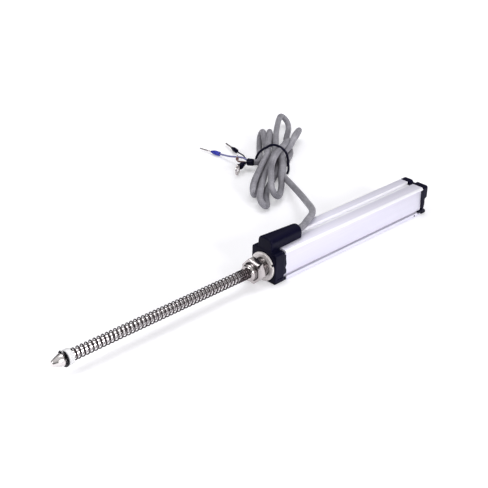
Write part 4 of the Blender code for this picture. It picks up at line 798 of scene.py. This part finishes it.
# The other seen pieces: the CAD's own shapes with their edges rounded, widths in millimetres
roundings = {
    "housing_tube": ("housingTube", "housing", 0.14), "lock_washer": ("lockWasher", "housing", 0.1),
    "hex_nut": ("hexNut", "housing", 0.07), "cone_tip": ("coneTip", "shaft", 0.1),
    "e_clip": ("eClip", "shaft", 0.08), "spring_collar": ("springCollar", "shaft", 0.25),
    "rod": ("rodPiece", "shaft", 0.05)}
# the rod and the washer take lighter copies of their metals: painted highlight and painted light
ownFinishes = {"rod": "lit_rod_steel", "lock_washer": "lit_washer_nickel"}


def buildRoundedPieces():
    for nodeName, (pieceName, body, width) in roundings.items():
        item = softened(nodeName, pieceName, body, width * mm)
        if nodeName in ownFinishes:
            item.data.materials.clear()
            item.data.materials.append(finishes[ownFinishes[nodeName]])
    for nodeName, pieceName in (("front_cap", "frontCap"), ("rear_cap", "rearCap")):
        moulded(nodeName, pieceName, "housing")


buildRoundedPieces()
print("edges rounded")

# Floor, world and lamps. The lift is the floor's own light, near the part and far from it;
# the sky's range is the height of the direction, from 0 at the horizon to 1 straight up.
studio = {"floorSize": 14.0, "floorHeight": -0.2 * mm, "floorColour": (0.80, 0.795, 0.83), "floorRoughness": 0.9,
          "lift": {"near": 0.31, "far": 0.95, "from": 0.14, "to": 0.5},
          "sky": {"low": 0.02, "high": 0.72, "from": 0.3, "to": 0.85},
          "key": {"place": (-0.10, -1.0, 0.42), "aim": (0.0, 0.02, 0.0), "size": 0.4, "power": 8.0},
          "fill": {"place": (-0.85, 0.25, 0.55), "aim": (0.0, 0.0, 0.0), "size": 0.35, "power": 2.4},
          "top": {"place": (0.25, 0.30, 1.1), "aim": (0.0, 0.05, 0.0), "size": 0.6, "power": 3.0}}


def ranged(tree, value, sizes, first, last):
    # the first strength up to the range's start, growing to the last one at its end
    node = tree.nodes.new("ShaderNodeMapRange")
    for label, key in (("From Min", "from"), ("From Max", "to"), ("To Min", first), ("To Max", last)):
        node.inputs[label].default_value = sizes[key]
    tree.links.new(value, node.inputs["Value"])
    return node.outputs["Result"]


def buildFloor():
    shape = bmesh.new()
    half = studio["floorSize"] / 2
    corners = ((-half, -half), (half, -half), (half, half), (-half, half))
    shape.faces.new([shape.verts.new((x, y, studio["floorHeight"])) for x, y in corners])
    mesh = bpy.data.meshes.new("studioFloor")
    shape.to_mesh(mesh)
    shape.free()
    floor = pieceFrom("studioFloor", mesh)
    material = bpy.data.materials.new("paleFloor")
    material.use_nodes = True
    tree = material.node_tree
    shader = tree.nodes["Principled BSDF"]
    shader.inputs["Roughness"].default_value = studio["floorRoughness"]
    shader.inputs["Specular IOR Level"].default_value = 0.0
    shader.inputs["Base Color"].default_value = (*studio["floorColour"], 1.0)
    lift = tree.nodes.new("ShaderNodeEmission")
    lift.inputs["Color"].default_value = (1, 1, 1, 1)
    path = tree.nodes.new("ShaderNodeLightPath")
    seen = mathNode(tree, "MAXIMUM", path.outputs["Is Camera Ray"],
                    mathNode(tree, "MAXIMUM", path.outputs["Is Glossy Ray"], path.outputs["Is Transmission Ray"]))
    away = tree.nodes.new("ShaderNodeVectorMath")
    away.operation = "LENGTH"
    tree.links.new(tree.nodes.new("ShaderNodeTexCoord").outputs["Object"], away.inputs[0])
    lifted = ranged(tree, away.outputs["Value"], studio["lift"], "near", "far")
    tree.links.new(mathNode(tree, "MULTIPLY", seen, lifted), lift.inputs["Strength"])
    both = tree.nodes.new("ShaderNodeAddShader")
    tree.links.new(shader.outputs[0], both.inputs[0])
    tree.links.new(lift.outputs[0], both.inputs[1])
    tree.links.new(both.outputs[0], tree.nodes["Material Output"].inputs["Surface"])
    floor.data.materials.append(material)


def buildLamps():
    for name in ("key", "fill", "top"):
        sizes = studio[name]
        lamp = bpy.data.lights.new(name + "Lamp", "AREA")
        lamp.energy = sizes["power"]
        lamp.size = sizes["size"]
        holder = bpy.data.objects.new(name + "Lamp", lamp)
        scene.collection.objects.link(holder)
        place = Vector(sizes["place"])
        holder.matrix_world = Matrix.Translation(place) @ (
            Vector(sizes["aim"]) - place).to_track_quat("-Z", "Y").to_matrix().to_4x4()


def buildWorld():
    # dim at the horizon and bright above, so that the metals have something dark to show
    world = bpy.data.worlds.new("studioWorld")
    world.use_nodes = True
    tree = world.node_tree
    ground = tree.nodes["Background"]
    ground.inputs["Color"].default_value = (1, 1, 1, 1)
    split = tree.nodes.new("ShaderNodeSeparateXYZ")
    tree.links.new(tree.nodes.new("ShaderNodeTexCoord").outputs["Generated"], split.inputs[0])
    glow = ranged(tree, split.outputs["Z"], studio["sky"], "low", "high")
    path = tree.nodes.new("ShaderNodeLightPath")
    seen = mathNode(tree, "MAXIMUM", path.outputs["Is Camera Ray"], path.outputs["Is Transmission Ray"])
    tree.links.new(mathNode(tree, "MAXIMUM", glow, seen), ground.inputs["Strength"])
    scene.world = world


scene.view_settings.view_transform = "Standard"
buildFloor()
buildLamps()
buildWorld()
print("studio set")
